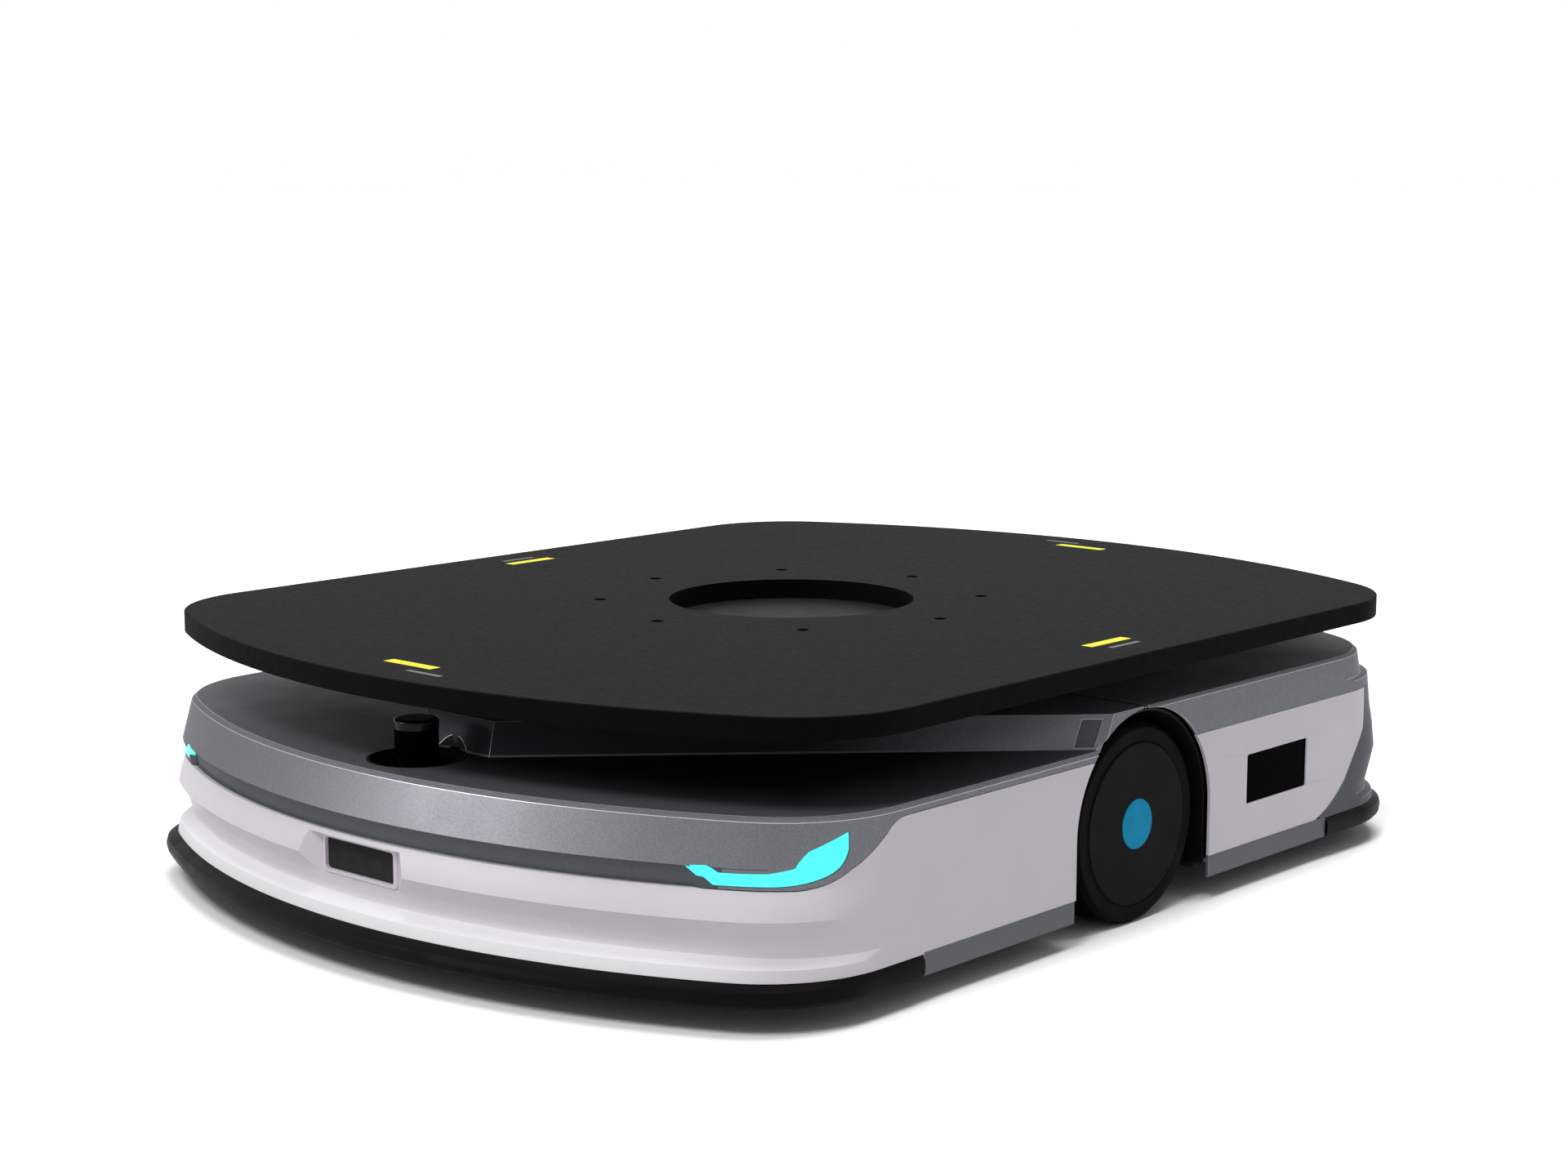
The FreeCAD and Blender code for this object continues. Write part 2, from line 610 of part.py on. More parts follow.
def front_room(inset):
    """The hollow under the front covers, so far inside their outer faces."""
    low = nose_block(FRONT_NOSE, inset).cut(box(-FAR, FAR, -FAR, FAR, LEDGE_Z - inset, FAR))
    return low.fuse(plateau(inset))


def rear_room(inset):
    """The hollow under the rear covers, drawn forwards."""
    return nose_block(REAR_NOSE, inset).cut(box(-FAR, FAR, -FAR, FAR, SHOULDER_Z - inset, FAR))


def trimmed_top(cover):
    """An upper cover with the lift's opening, the arches and the middle joint cut out of it."""
    cover = cover.cut(rod(COVER_OPENING_R, (0, 0, 0), (0, 0, FAR)))
    for side in (1, -1):
        cover = cover.cut(arch_cut(ARCH_R, side * (HALF_WIDTH - WALL - SIDE_LEAN), side * FAR))
    return cover.cut(box(-FAR, COVER_JOINT / 2, -FAR, FAR, 0, FAR)).removeSplitter()


def front_upper_cover():
    """Silver moulding: the front fascia, the low ledge, the scanner's pocket and the high middle."""
    solid = nose_block(FRONT_NOSE, 0, top_taper=TOP_DRAFT).fuse(plateau())
    cover = solid.cut(front_room(WALL)).cut(belt_curve())
    cover = cover.cut(box(BAND_END_X, FAR, -FAR, FAR, 0, BAND_TOP_Z))
    for side in (1, -1):
        lens_y = (0, FAR) if side == 1 else (-FAR, 0)
        cover = cover.cut(side_prism(light_outline(SEAT), *lens_y))
    cover = cover.cut(rod(POCKET_R + SEAT, (SCANNER_X, 0, 0), (SCANNER_X, 0, FAR)))
    for pocket in flank_inserts(SEAT, -INSERT_THICKNESS).Solids:
        cover = cover.cut(pocket)
    return trimmed_top(cover)


def light_band():
    """Dark strip recessed between the lower and the upper front cover, from light to light."""
    strip = nose_block(FRONT_NOSE, WALL + SEAT).cut(nose_block(FRONT_NOSE, WALL + SEAT + BAND_THICKNESS))
    low, high = BAND_BOTTOM_Z - BAND_LAP, BAND_TOP_Z + BAND_LAP
    strip = strip.common(box(BAND_END_X - BAND_LAP, FAR, -FAR, FAR, low, high))
    return strip.cut(camera_recess(WALL + SEAT))


def light_lenses():
    """Light guides set into the front corners."""
    skin = nose_block(FRONT_NOSE, LENS_SUNK).cut(nose_block(FRONT_NOSE, WALL))
    return pair(skin.common(side_prism(light_outline(), 0, FAR)))


def camera_window():
    """Dark glass over the depth camera."""
    return camera_plate(CAMERA_FACE_X - CAMERA_GLASS, CAMERA_FACE_X, 0, CAMERA_CORNER_R)


def camera_module():
    """Depth camera with its two eyes against the glass, on a foot that stands on the chassis plate."""
    front, half = CAMERA_FACE_X - CAMERA_GLASS, CAMERA_HALF_WIDTH - MODULE_MARGIN
    face, back = front - MODULE_MARGIN, front - MODULE_DEPTH
    low, high = CAMERA_BOTTOM_Z + MODULE_MARGIN, CAMERA_TOP_Z - MODULE_MARGIN
    middle = (low + high) / 2
    body = box(back, face, -half, half, low, high)
    for y in (-half / 2, half / 2):
        body = body.fuse(rod(CAMERA_BARREL_R, (face, y, middle), (front, y, middle)))
    foot = box(back, back + MODULE_FOOT, -half, half, FLOOR_SEAT_Z, low)
    return body.fuse(foot).removeSplitter()


def scanner_pocket():
    """Black dished insert that the scanner stands in."""
    cone = Part.makeCone(SCANNER_R + POCKET_FLOOR_MARGIN, POCKET_R - POCKET_RIM, POCKET_DEPTH)
    cone.translate(Vector(SCANNER_X, 0, POCKET_Z))
    cup = rod(POCKET_R, (SCANNER_X, 0, POCKET_Z - POCKET_RIM), (SCANNER_X, 0, LEDGE_Z))
    lip_z = UNDER_LEDGE_Z - POCKET_RIM
    lip = rod(POCKET_R + POCKET_LIP, (SCANNER_X, 0, lip_z), (SCANNER_X, 0, UNDER_LEDGE_Z))
    return cup.fuse(lip).cut(cone).removeSplitter()


def scanner_body():
    """Laser scanner: a base and a slim round head, with a groove where its window sits."""
    head = rod(SCANNER_R, (SCANNER_X, 0, POCKET_Z), (SCANNER_X, 0, SCANNER_TOP_Z))
    top_edge = [e for e in head.Edges if abs(e.CenterOfMass.z - SCANNER_TOP_Z) < 0.01]
    head = head.makeFillet(SCANNER_TOP_ROLL, top_edge)
    low, high = POCKET_Z + SCANNER_BASE, SCANNER_TOP_Z - SCANNER_CAP
    return head.cut(ring(SCANNER_R + 1, SCANNER_R - SCANNER_SHELL, (SCANNER_X, 0, low), (SCANNER_X, 0, high)))


def scanner_window():
    """Dark ring that the laser looks through."""
    outer, inner = SCANNER_R - SCANNER_WINDOW_SUNK, SCANNER_R - SCANNER_SHELL + RUNNING
    low, high = POCKET_Z + SCANNER_BASE, SCANNER_TOP_Z - SCANNER_CAP
    return ring(outer, inner, (SCANNER_X, 0, low), (SCANNER_X, 0, high))


# ---------------------------------------------------------------- shell: rear and sides
def rear_panel_outline(grow=0.0):
    """Side view of a white rear side panel, with its swept rear edge. Drawn forwards of the wheel."""
    low, high = SILL_TOP_Z - grow, BELT_LINE_Z - SEAM + grow
    toe = NOSE_REACH - TOE_SETBACK + grow
    heel, bend, top = (toe + 49, low + 29), (toe + 81, high - 37), (toe + 86, high)
    edges = side_line((0, high), (0, low), (toe, low))
    edges.append(side_arc((toe, low), (toe + 27, low + 12), heel))
    edges += side_line(heel, bend)
    edges.append(side_arc(bend, (toe + 85, high - 18), top))
    return edges + side_line(top, (0, high))


def side_window_plate(y0, y1, grow, corner_r):
    """A plate the shape of a side window, grown all round."""
    x0, z0 = ARCH_R + SIDE_WINDOW_FROM_ARCH, SIDE_WINDOW_BOTTOM_Z
    x1, z1 = x0 + SIDE_WINDOW_LENGTH, z0 + SIDE_WINDOW_HEIGHT
    return rounded_box(x0 - grow, x1 + grow, y0, y1, z0 - grow, z1 + grow, corner_r, "y")


def rear_side_panels():
    """White panels behind the wheels, each with a rectangular window opening."""
    skin = nose_block(REAR_NOSE).cut(nose_block(REAR_NOSE, WALL))
    panel = skin.common(side_prism(rear_panel_outline(), 0, FAR))
    panel = panel.cut(side_window_plate(HALF_WIDTH - 2 * WALL, FAR, SEAT, SIDE_WINDOW_CORNER_R))
    return turned_about(pair(panel.cut(arch_cut(ARCH_R, -FAR, FAR))))


def side_windows():
    """Black covers of the side sensors, a little below the panel's face."""
    face, back = HALF_WIDTH - SIDE_WINDOW_SUNK, HALF_WIDTH - WALL - SEAT
    plate = side_window_plate(back - WINDOW_FLANGE_THICKNESS, face, 0, SIDE_WINDOW_CORNER_R)
    flange = side_window_plate(back - WINDOW_FLANGE_THICKNESS, back, SIDE_WINDOW_FLANGE, SIDE_WINDOW_CORNER_R)
    return turned_about(pair(plate.fuse(flange).removeSplitter()))


def sill(x0, x1):
    """Sheet sill along one side: a face with a flange that rests on the chassis plate."""
    face_y = HALF_WIDTH - SILL_SETBACK
    face = box(x0, x1, face_y - WALL, face_y, SILL_BOTTOM_Z, SILL_TOP_Z - SEAM)
    flange = box(x0, x1, BASE_HALF_WIDTH - SILL_FLANGE, face_y, FLOOR_SEAT_Z, FLOOR_SEAT_Z + WALL)
    return face.fuse(flange).removeSplitter()


def sills():
    """All four sills; the rear ones run on under the swept toe of the white panel."""
    front = pair(sill(ARCH_R + SEAM, BUMPER_END_X - SEAM))
    return Part.makeCompound([front, turned_about(front)])


def rear_lower_cover():
    """Grey moulding round the rear nose. Drawn forwards, then turned to the rear."""
    cover = nose_block(REAR_NOSE).cut(nose_block(REAR_NOSE, WALL))
    cover = cover.cut(side_prism(rear_panel_outline(SEAM)))
    cover = cover.cut(box(-FAR, FAR, -FAR, FAR, BELT_LINE_Z - SEAM, FAR))
    cover = cover.cut(box(-FAR, BUMPER_END_X, -FAR, FAR, 0, SILL_TOP_Z))
    toe_x = NOSE_REACH - TOE_COVER_SETBACK
    return turned_about(cover.cut(box(-FAR, toe_x, -FAR, FAR, 0, FAR)).removeSplitter())


def rear_upper_cover():
    """Silver moulding over the rear half: a flat top, side bands and a stepped rear edge."""
    solid = nose_block(REAR_NOSE, 0, top_taper=TOP_DRAFT)
    cover = solid.cut(rear_room(WALL)).cut(box(-FAR, FAR, -FAR, FAR, 0, BELT_LINE_Z))
    return turned_about(trimmed_top(cover))


def cover_joints():
    """Black strips that close the joint between the two upper covers from below, left and right."""
    half, rib_half = COVER_JOINT / 2 + JOINT_FLANGE, COVER_JOINT / 2 - SEAT
    near, liner, far = COVER_OPENING_R + SEAT, LINER_INNER_Y - SEAT, LINER_OUTER_Y
    flange = box(-half, half, near, liner, UNDER_SHOULDER_Z - BAND_THICKNESS, UNDER_SHOULDER_Z)
    rib = box(-rib_half, rib_half, near, far, UNDER_SHOULDER_Z, SHOULDER_Z - JOINT_SUNK)
    return pair(flange.fuse(rib).removeSplitter())


def bumper():
    """Rubber safety edge round one nose."""
    height = BUMPER_TOP_Z - SILL_BOTTOM_Z
    stations = [(0.0, -6.0), (0.18, -1.2), (0.5, 0.0), (0.78, -1.5), (1.0, -9.0)]
    wires = []
    for share, step in stations:
        reach, half_width = BUMPER_REACH + step, BUMPER_HALF_WIDTH + step / 3
        corner_r = NOSE_CORNER_R + step / 3
        wires.append(outline(SILL_BOTTOM_Z + share * height, reach, half_width, NOSE_BOW, corner_r))
    solid = Part.makeLoft(wires, True, True)
    inner = outline(0, BASE_REACH + SEAT, BASE_HALF_WIDTH + SEAT, NOSE_BOW, BASE_CORNER_R)
    strip = solid.cut(Part.Face(inner).extrude(Vector(0, 0, FAR)))
    return strip.cut(box(-FAR, BUMPER_END_X, -FAR, FAR, 0, FAR))


# ---------------------------------------------------------------- chassis
def base_plate():
    """Steel floor of the chassis, with wells for the casters and the drive wheels."""
    plate = slab(BASE_BOTTOM_Z, BASE_TOP_Z, BASE_REACH, BASE_HALF_WIDTH, NOSE_BOW, BASE_CORNER_R)
    well_x, well_y = LINER_R - LINER_WALL, LINER_INNER_Y + LINER_WALL
    for side in (1, -1):
        plate = plate.cut(box(-well_x, well_x, side * well_y, side * FAR, 0, FAR))
        for end in (1, -1):
            centre = (end * CASTER_X, side * CASTER_Y)
            plate = plate.cut(rod(CASTER_WELL_R, (*centre, 0), (*centre, FAR)))
    return plate


def at_each_caster(shape):
    """Copies of a piece that is drawn for the origin, at the four casters; mirrored on the right."""
    group = []
    for end in (1, -1):
        for side in (1, -1):
            one = shape.copy() if side == 1 else mirrored(shape)
            one.translate(Vector(end * CASTER_X, side * CASTER_Y, 0))
            group.append(one)
    return Part.makeCompound(group)


def caster_brackets():
    """Folded steel bridges over the wells, which carry the casters."""
    half, wall = BRIDGE_HALF, BRIDGE_WALL
    bridge = box(-half, half, -half - wall, half + wall, FLOOR_SEAT_Z, CASTER_HEAD_Z + wall)
    bridge = bridge.cut(box(-FAR, FAR, -half, half, 0, CASTER_HEAD_Z))
    foot = box(-half, half, half, half + wall + BRIDGE_FOOT, FLOOR_SEAT_Z, FLOOR_SEAT_Z + wall)
    return at_each_caster(bridge.fuse(foot).removeSplitter())


def caster_head_plates():
    """The casters' bolted plates, each with its king pin and the pin's head, which holds the fork up."""
    half, top = CASTER_PLATE_HALF, CASTER_HEAD_Z - SEAT
    plate = rounded_box(-half, half, -half, half, CASTER_PLATE_Z, top, CASTER_PLATE_CORNER_R, "z")
    pin = rod(KING_PIN_R, (0, 0, KING_PIN_HEAD_Z), (0, 0, top))
    head = rod(KING_PIN_HEAD_R, (0, 0, KING_PIN_HEAD_Z - KING_PIN_HEAD_HEIGHT), (0, 0, KING_PIN_HEAD_Z))
    return at_each_caster(plate.fuse([pin, head]).removeSplitter())


def caster_fork():
    """Swivelling fork round the king pin, with the axle bolt. Its wheel trails behind."""
    top, low = CASTER_PLATE_Z - SEAT, KING_PIN_HEAD_Z + SEAT
    cup = rod(CASTER_CUP_R, (0, 0, low), (0, 0, top))
    cup = cup.makeChamfer(CASTER_CUP_CHAMFER, [e for e in cup.Edges if abs(e.CenterOfMass.z - top) < 0.01])
    inner = CASTER_WHEEL_WIDTH / 2 + CASTER_CHEEK_GAP
    outer, bolt_end = inner + CASTER_CHEEK, inner + CASTER_CHEEK + CASTER_AXLE_END
    axle_x, axle_z, eye_r = -CASTER_TRAIL, CASTER_WHEEL_R, CASTER_EYE_R
    shoulder = CASTER_CUP_R - CASTER_CHEEK
    web = low + 2 * CASTER_CHEEK
    sides = side_line((shoulder, low), (shoulder, web), (-shoulder, web), (axle_x - eye_r, axle_z),
                      (axle_x + eye_r, axle_z), (shoulder, low))
    cheek = side_prism(sides, inner, outer).fuse(rod(eye_r, (axle_x, inner, axle_z), (axle_x, outer, axle_z)))
    axle = rod(CASTER_AXLE_R, (axle_x, -bolt_end, axle_z), (axle_x, bolt_end, axle_z))
    fork = cup.fuse([cheek, mirrored(cheek), axle])
    return fork.cut(rod(KING_PIN_R + RUNNING, (0, 0, 0), (0, 0, FAR))).removeSplitter()


def turned_wheel(points):
    """A wheel about the Y axis, turned from its section's (radius, y) corners."""
    section = [Vector(radius, y, 0) for radius, y in points]
    face = Part.Face(Part.makePolygon(section + section[:1]))
    return face.revolve(Vector(0, 0, 0), Vector(0, 1, 0), 360)


def caster_wheel():
    """Polyurethane wheel with a crowned tread and dished sides."""
    half, dish = CASTER_WHEEL_WIDTH / 2, CASTER_WHEEL_WIDTH / 2 - CASTER_DISH
    tread_r = CASTER_WHEEL_R - CASTER_TREAD
    near = [(CASTER_AXLE_R + RUNNING, -half), (CASTER_HUB_R, -half), (CASTER_HUB_R + CASTER_DISH, -dish)]
    near += [(tread_r, -dish), (CASTER_WHEEL_R - CASTER_CROWN, -half), (CASTER_WHEEL_R, -half + CASTER_CHEEK)]
    wheel = turned_wheel(near + [(radius, -y) for radius, y in reversed(near)])
    wheel.translate(Vector(-CASTER_TRAIL, 0, CASTER_WHEEL_R))
    return wheel


def cover_posts():
    """Square tubes from the chassis plate up to the covers."""
    end_x, mid_x = NOSE_REACH - POST_END_GAP, CASTER_X - POST_CASTER_GAP
    mid_y = HALF_WIDTH - POST_SIDE_GAP
    places = [(-end_x, POST_REAR_Y, UNDER_SHOULDER_Z), (-mid_x, mid_y, UNDER_SHOULDER_Z),
              (mid_x, mid_y, UNDER_LEDGE_Z), (end_x, POST_FRONT_Y, UNDER_LEDGE_Z)]
    outer, inner = POST_TUBE / 2, POST_TUBE / 2 - POST_TUBE_WALL
    group = []
    for x, y, top in places:
        post = box(x - outer, x + outer, y - outer, y + outer, FLOOR_SEAT_Z, top)
        post = post.cut(box(x - inner, x + inner, y - inner, y + inner, 0, top - WALL))
        group += [post, mirrored(post)]
    return Part.makeCompound(group)


def wheel_arch_liners():
    """Black liners over the wheels, each with a wall that the gear case reaches through."""
    liner = arch_cut(LINER_R, LINER_INNER_Y, LINER_OUTER_Y)
    liner = liner.cut(arch_cut(LINER_R - LINER_WALL, LINER_INNER_Y + LINER_WALL, FAR))
    liner = liner.cut(box(-FAR, FAR, -FAR, FAR, -1, FLOOR_SEAT_Z))
    room = front_room(WALL + SEAT).fuse([
        turned_about(rear_room(WALL + SEAT)), box(-ARCH_R, ARCH_R, -FAR, FAR, 0, SILL_TOP_Z)
    ])
    liner = liner.common(room)
    return pair(liner.cut(rod(GEAR_CASE_R + LINER_HOLE_GAP, (0, 0, WHEEL_R), (0, FAR, WHEEL_R))))


def battery_pack():
    """Battery between the rear casters, with a handle on its lid."""
    rear, front, top = -(NOSE_REACH - BATTERY_NOSE_GAP), -(SCREW_X + BATTERY_SCREW_GAP), BATTERY_TOP_Z
    half = UNIT_HALF_WIDTH
    body = rounded_box(rear, front, -half, half, FLOOR_SEAT_Z, top, BATTERY_CORNER_R, "z")
    middle, grip = (rear + front) / 2, BATTERY_HANDLE_WIDTH / 2
    inner_r = BATTERY_HANDLE_R - BATTERY_HANDLE_BAR
    handle = ring(BATTERY_HANDLE_R, inner_r, (middle, -grip, top), (middle, grip, top))
    return body.fuse(handle.cut(box(-FAR, FAR, -FAR, FAR, 0, top - SEAT))).removeSplitter()


def finned_case(x0, x1, y0, y1, top):
    """A low case with cooling fins along its lid."""
    case = box(x0, x1, y0, y1, FLOOR_SEAT_Z, top)
    count = int((y1 - y0 - 2 * FIN_MARGIN) // FIN_PITCH)
    first = (y0 + y1 - count * FIN_PITCH - FIN_THICKNESS) / 2
    fins = []
    for number in range(count + 1):
        y = first + number * FIN_PITCH
        fins.append(box(x0 + FIN_MARGIN, x1 - FIN_MARGIN, y, y + FIN_THICKNESS, top - SEAT, top + FIN_HEIGHT))
    return case.fuse(fins).removeSplitter()


def controller_box():
    """Main computer in a finned case, between the front casters."""
    rear, front = SCREW_X + CONTROLLER_SCREW_GAP, NOSE_REACH - CONTROLLER_NOSE_GAP
    half = UNIT_HALF_WIDTH - FIN_MARGIN
    return finned_case(rear, front, -half, half, CONTROLLER_TOP_Z)


def motor_drives():
    """Two servo drives, one behind each wheel motor."""
    front = -(MOTOR_R + DRIVE_UNIT_MOTOR_GAP)
    near, far = GUIDE_Y + DRIVE_UNIT_GUIDE_GAP, ARM_INNER_Y - DRIVE_UNIT_ARM_GAP
    return pair(finned_case(front - DRIVE_UNIT_LENGTH, front, near, far, DRIVE_UNIT_TOP_Z))


# ---------------------------------------------------------------- drive units
def suspension_pivots():
    """Rubber-sprung pivots of the swing arms, on feet bolted to the chassis plate."""
    face_y, x, z, half = ARM_INNER_Y - SEAT, ARM_PIVOT_X, ARM_PIVOT_Z, PIVOT_HOUSING_R
    back_y = face_y - PIVOT_HOUSING_LENGTH
    housing = rod(half, (x, back_y, z), (x, face_y, z))
    foot = box(x - half, x + half, back_y, face_y, FLOOR_SEAT_Z, z)
    shaft = rod(PIVOT_R, (x, face_y - PIVOT_R, z), (x, ARM_OUTER_Y + PIVOT_SHAFT_END, z))
    return pair(housing.fuse([foot, shaft]).removeSplitter())


def swing_arm():
    """Plate that carries one drive unit and swings on its pivot."""
    x, z = ARM_PIVOT_X, ARM_PIVOT_Z
    pivot_end = rod(ARM_PIVOT_EYE_R, (x, ARM_INNER_Y, z), (x, ARM_OUTER_Y, z))
    wheel_end = rod(ARM_EYE_R, (0, ARM_INNER_Y, WHEEL_R), (0, ARM_OUTER_Y, WHEEL_R))
    wide, slim = ARM_EYE_R - ARM_WEB_STEP, ARM_PIVOT_EYE_R - PIVOT_SHAFT_END
    corners = [(0, WHEEL_R + wide), (x, z + slim), (x, z - slim), (0, WHEEL_R - wide), (0, WHEEL_R + wide)]
    web = side_prism(side_line(*corners), ARM_INNER_Y, ARM_OUTER_Y)
    arm = wheel_end.fuse([web, pivot_end]).removeSplitter()
    arm = arm.cut(rod(PIVOT_R + RUNNING, (x, 0, z), (x, FAR, z)))
    return arm.cut(rod(DRIVE_NECK_R, (0, 0, WHEEL_R), (0, FAR, WHEEL_R)))


def on_axle(radius, y0, y1):
    """A round bar on the drive wheel's axis."""
    return rod(radius, (0, y0, WHEEL_R), (0, y1, WHEEL_R))


def gearmotor():
    """Motor inside the arm, gear case through it, and the fixed spindle that the wheel turns on."""
    case_end = WHEEL_INNER_Y - GEAR_CASE_GAP
    motor = on_axle(MOTOR_R, MOTOR_INNER_Y, ARM_INNER_Y)
    rear_cap = on_axle(MOTOR_R - MOTOR_CAP_STEP, MOTOR_INNER_Y - MOTOR_CAP, MOTOR_INNER_Y)
    neck = on_axle(DRIVE_NECK_R, ARM_INNER_Y - SEAT, ARM_OUTER_Y + SEAT)
    case = on_axle(GEAR_CASE_R, ARM_OUTER_Y, case_end)
    spindle = on_axle(SPINDLE_R, case_end - SEAT, WHEEL_FACE_Y - SPINDLE_END)
    return motor.fuse([rear_cap, neck, case, spindle]).removeSplitter()


def wheel_hub():
    """Cast hub with a flat dished face and a bore for the spindle."""
    face = WHEEL_FACE_Y
    hub = on_axle(HUB_R, WHEEL_INNER_Y, face)
    hub = hub.makeChamfer(HUB_CHAMFER, [e for e in hub.Edges if abs(e.CenterOfMass.y - face) < 0.01])
    dish = on_axle(HUB_R - HUB_RIM, WHEEL_INNER_Y - 1, face - HUB_FACE)
    hub = hub.cut(dish.cut(on_axle(SPINDLE_R + HUB_BOSS, 0, FAR)))
    hub = hub.cut(on_axle(SPINDLE_R + RUNNING, 0, face - SPINDLE_END + SEAT))
    return hub.cut(on_axle(HUB_CAP_R + SEAT, face - HUB_CAP_DEPTH, FAR))


def tyre():
    """Solid polyurethane tyre with bevelled shoulders."""
    near, far = WHEEL_INNER_Y, WHEEL_FACE_Y - TYRE_SETBACK
    tread_r = WHEEL_R - TYRE_SHOULDER
    shape = turned_wheel([
        (HUB_R, near), (tread_r, near), (WHEEL_R, near + TYRE_SHOULDER),
        (WHEEL_R, far - TYRE_SHOULDER), (tread_r, far), (HUB_R, far),
    ])
    shape.translate(Vector(0, 0, WHEEL_R))
    return shape


def hub_cap():
    """Round plastic cap in the middle of the wheel."""
    end = WHEEL_FACE_Y + HUB_CAP_PROUD
    cap = on_axle(HUB_CAP_R, WHEEL_FACE_Y - HUB_CAP_DEPTH + SEAT, end)
    return cap.makeChamfer(HUB_CAP_PROUD, [e for e in cap.Edges if e.BoundBox.YMin > end - SEAT / 2])


# ---------------------------------------------------------------- lift and slewing drive
def lift_carriage():
    """Plate on the guide posts, with a round hole under the drum and a boss at each post."""
    half_x = SCREW_X + CARRIAGE_MARGIN
    half_y = GUIDE_Y + CARRIAGE_MARGIN
    low, high = CARRIAGE_BOTTOM_Z, CARRIAGE_TOP_Z
    carriage = rounded_box(-half_x, half_x, -half_y, half_y, low, high, CARRIAGE_CORNER_R, "z")
    carriage = carriage.cut(rod(CARRIAGE_HOLE_R, (0, 0, 0), (0, 0, FAR)))
    for x in (SCREW_X, -SCREW_X):
        carriage = carriage.cut(rod(SCREW_R + SCREW_HOLE_GAP, (x, 0, 0), (x, 0, FAR)))
        for y in (GUIDE_Y, -GUIDE_Y):
            boss = rod(GUIDE_R + CARRIAGE_BOSS, (x, y, low - CARRIAGE_BOSS_DEPTH), (x, y, high))
            carriage = carriage.fuse(boss).cut(rod(GUIDE_R + RUNNING, (x, y, 0), (x, y, FAR)))
    return carriage.removeSplitter()


def lift_drum():
    """Drum that stands on the carriage and comes up through the covers, with a roof for the ring."""
    drum = ring(DRUM_R, DRUM_R - DRUM_WALL, (0, 0, CARRIAGE_TOP_Z), (0, 0, ROOF_TOP_Z))
    drum = drum.fuse(rod(DRUM_R, (0, 0, ROOF_BOTTOM_Z), (0, 0, ROOF_TOP_Z))).removeSplitter()
    drum = drum.cut(rod(ROOF_CABLE_R, (ROOF_CABLE_X, 0, 0), (ROOF_CABLE_X, 0, FAR)))
    return drum.cut(rod(TURN_BOSS_R + SEAT, (PINION_X, 0, 0), (PINION_X, 0, FAR)))


def lift_nuts():
    """Bronze nuts bolted under the carriage."""
    top = CARRIAGE_BOTTOM_Z
    group = []
    for x in (SCREW_X, -SCREW_X):
        nut = rod(NUT_R, (x, 0, top - NUT_LENGTH), (x, 0, top))
        nut = nut.fuse(rod(NUT_FLANGE_R, (x, 0, top - NUT_FLANGE), (x, 0, top)))
        group.append(nut.cut(rod(SCREW_R + RUNNING, (x, 0, 0), (x, 0, FAR))).removeSplitter())
    return Part.makeCompound(group)


def guide_posts():
    """Ground steel posts that keep the carriage level."""
    posts = []
    for x in (SCREW_X, -SCREW_X):
        for y in (GUIDE_Y, -GUIDE_Y):
            post = rod(GUIDE_R, (x, y, FLOOR_SEAT_Z), (x, y, GUIDE_TOP_Z))
            foot = rod(GUIDE_FOOT_R, (x, y, FLOOR_SEAT_Z), (x, y, FLOOR_SEAT_Z + GUIDE_FOOT))
            posts.append(post.fuse(foot).removeSplitter())
    return Part.makeCompound(posts)


def lift_jacks():
    """Worm gearboxes under the screws, each with its motor lying beside it."""
    half_x, half_y = JACK_HALF_LENGTH, JACK_HALF_WIDTH
    motor_z = FLOOR_SEAT_Z + JACK_MOTOR_R + SEAT
    group = []
    for x in (SCREW_X, -SCREW_X):
        low, high = FLOOR_SEAT_Z, JACK_TOP_Z
        case = rounded_box(x - half_x, x + half_x, -half_y, half_y, low, high, JACK_CORNER_R, "z")
        motor = rod(JACK_MOTOR_R, (x, 0, motor_z), (x, JACK_MOTOR_REACH, motor_z))
        jack = case.fuse(motor).removeSplitter()
        group.append(jack.cut(rod(SCREW_R + RUNNING, (x, 0, FLOOR_SEAT_Z + SCREW_FLOOR), (x, 0, FAR))))
    return Part.makeCompound(group)


def lift_screw(x):
    """Lead screw from its gearbox up through the nut."""
    return rod(SCREW_R, (x, 0, FLOOR_SEAT_Z + SCREW_FLOOR + SEAT), (x, 0, GUIDE_TOP_Z))


def involute_flank(base_r, start_r, end_r, steps):
    """(radius, angle) pairs along an involute."""
    flank = []
    for step in range(steps + 1):
        radius = start_r + (end_r - start_r) * step / steps
        roll = math.sqrt(max((radius / base_r) ** 2 - 1, 0.0))
        flank.append((radius, roll - math.atan(roll)))
    return flank


def gear_wire(teeth, tip_r, root_r, half_tooth, z, steps=3):
    """Closed outline of a gear with a tooth on +X. half_tooth is half a tooth's angle at the pitch circle.
    For a ring with inner teeth the outline is its hole, which is shaped like an outer gear."""
    base_r = GEAR_MODULE * teeth / 2 * math.cos(PRESSURE_ANGLE)
    involute_at_pitch = math.tan(PRESSURE_ANGLE) - PRESSURE_ANGLE
    start_r = max(base_r, root_r)
    flank = involute_flank(base_r, start_r, tip_r, steps)
    points = []
    for tooth in range(teeth):
        centre = 2 * math.pi * tooth / teeth
        rising = [(r, centre - half_tooth - involute_at_pitch + a) for r, a in flank]
        falling = [(r, centre + half_tooth + involute_at_pitch - a) for r, a in reversed(flank)]
        if start_r > root_r + 0.01:
            rising.insert(0, (root_r, rising[0][1]))
            falling.append((root_r, falling[-1][1]))
        points += rising + falling
    corners = [Vector(r * math.cos(a), r * math.sin(a), z) for r, a in points]
    return Part.makePolygon(corners + corners[:1])


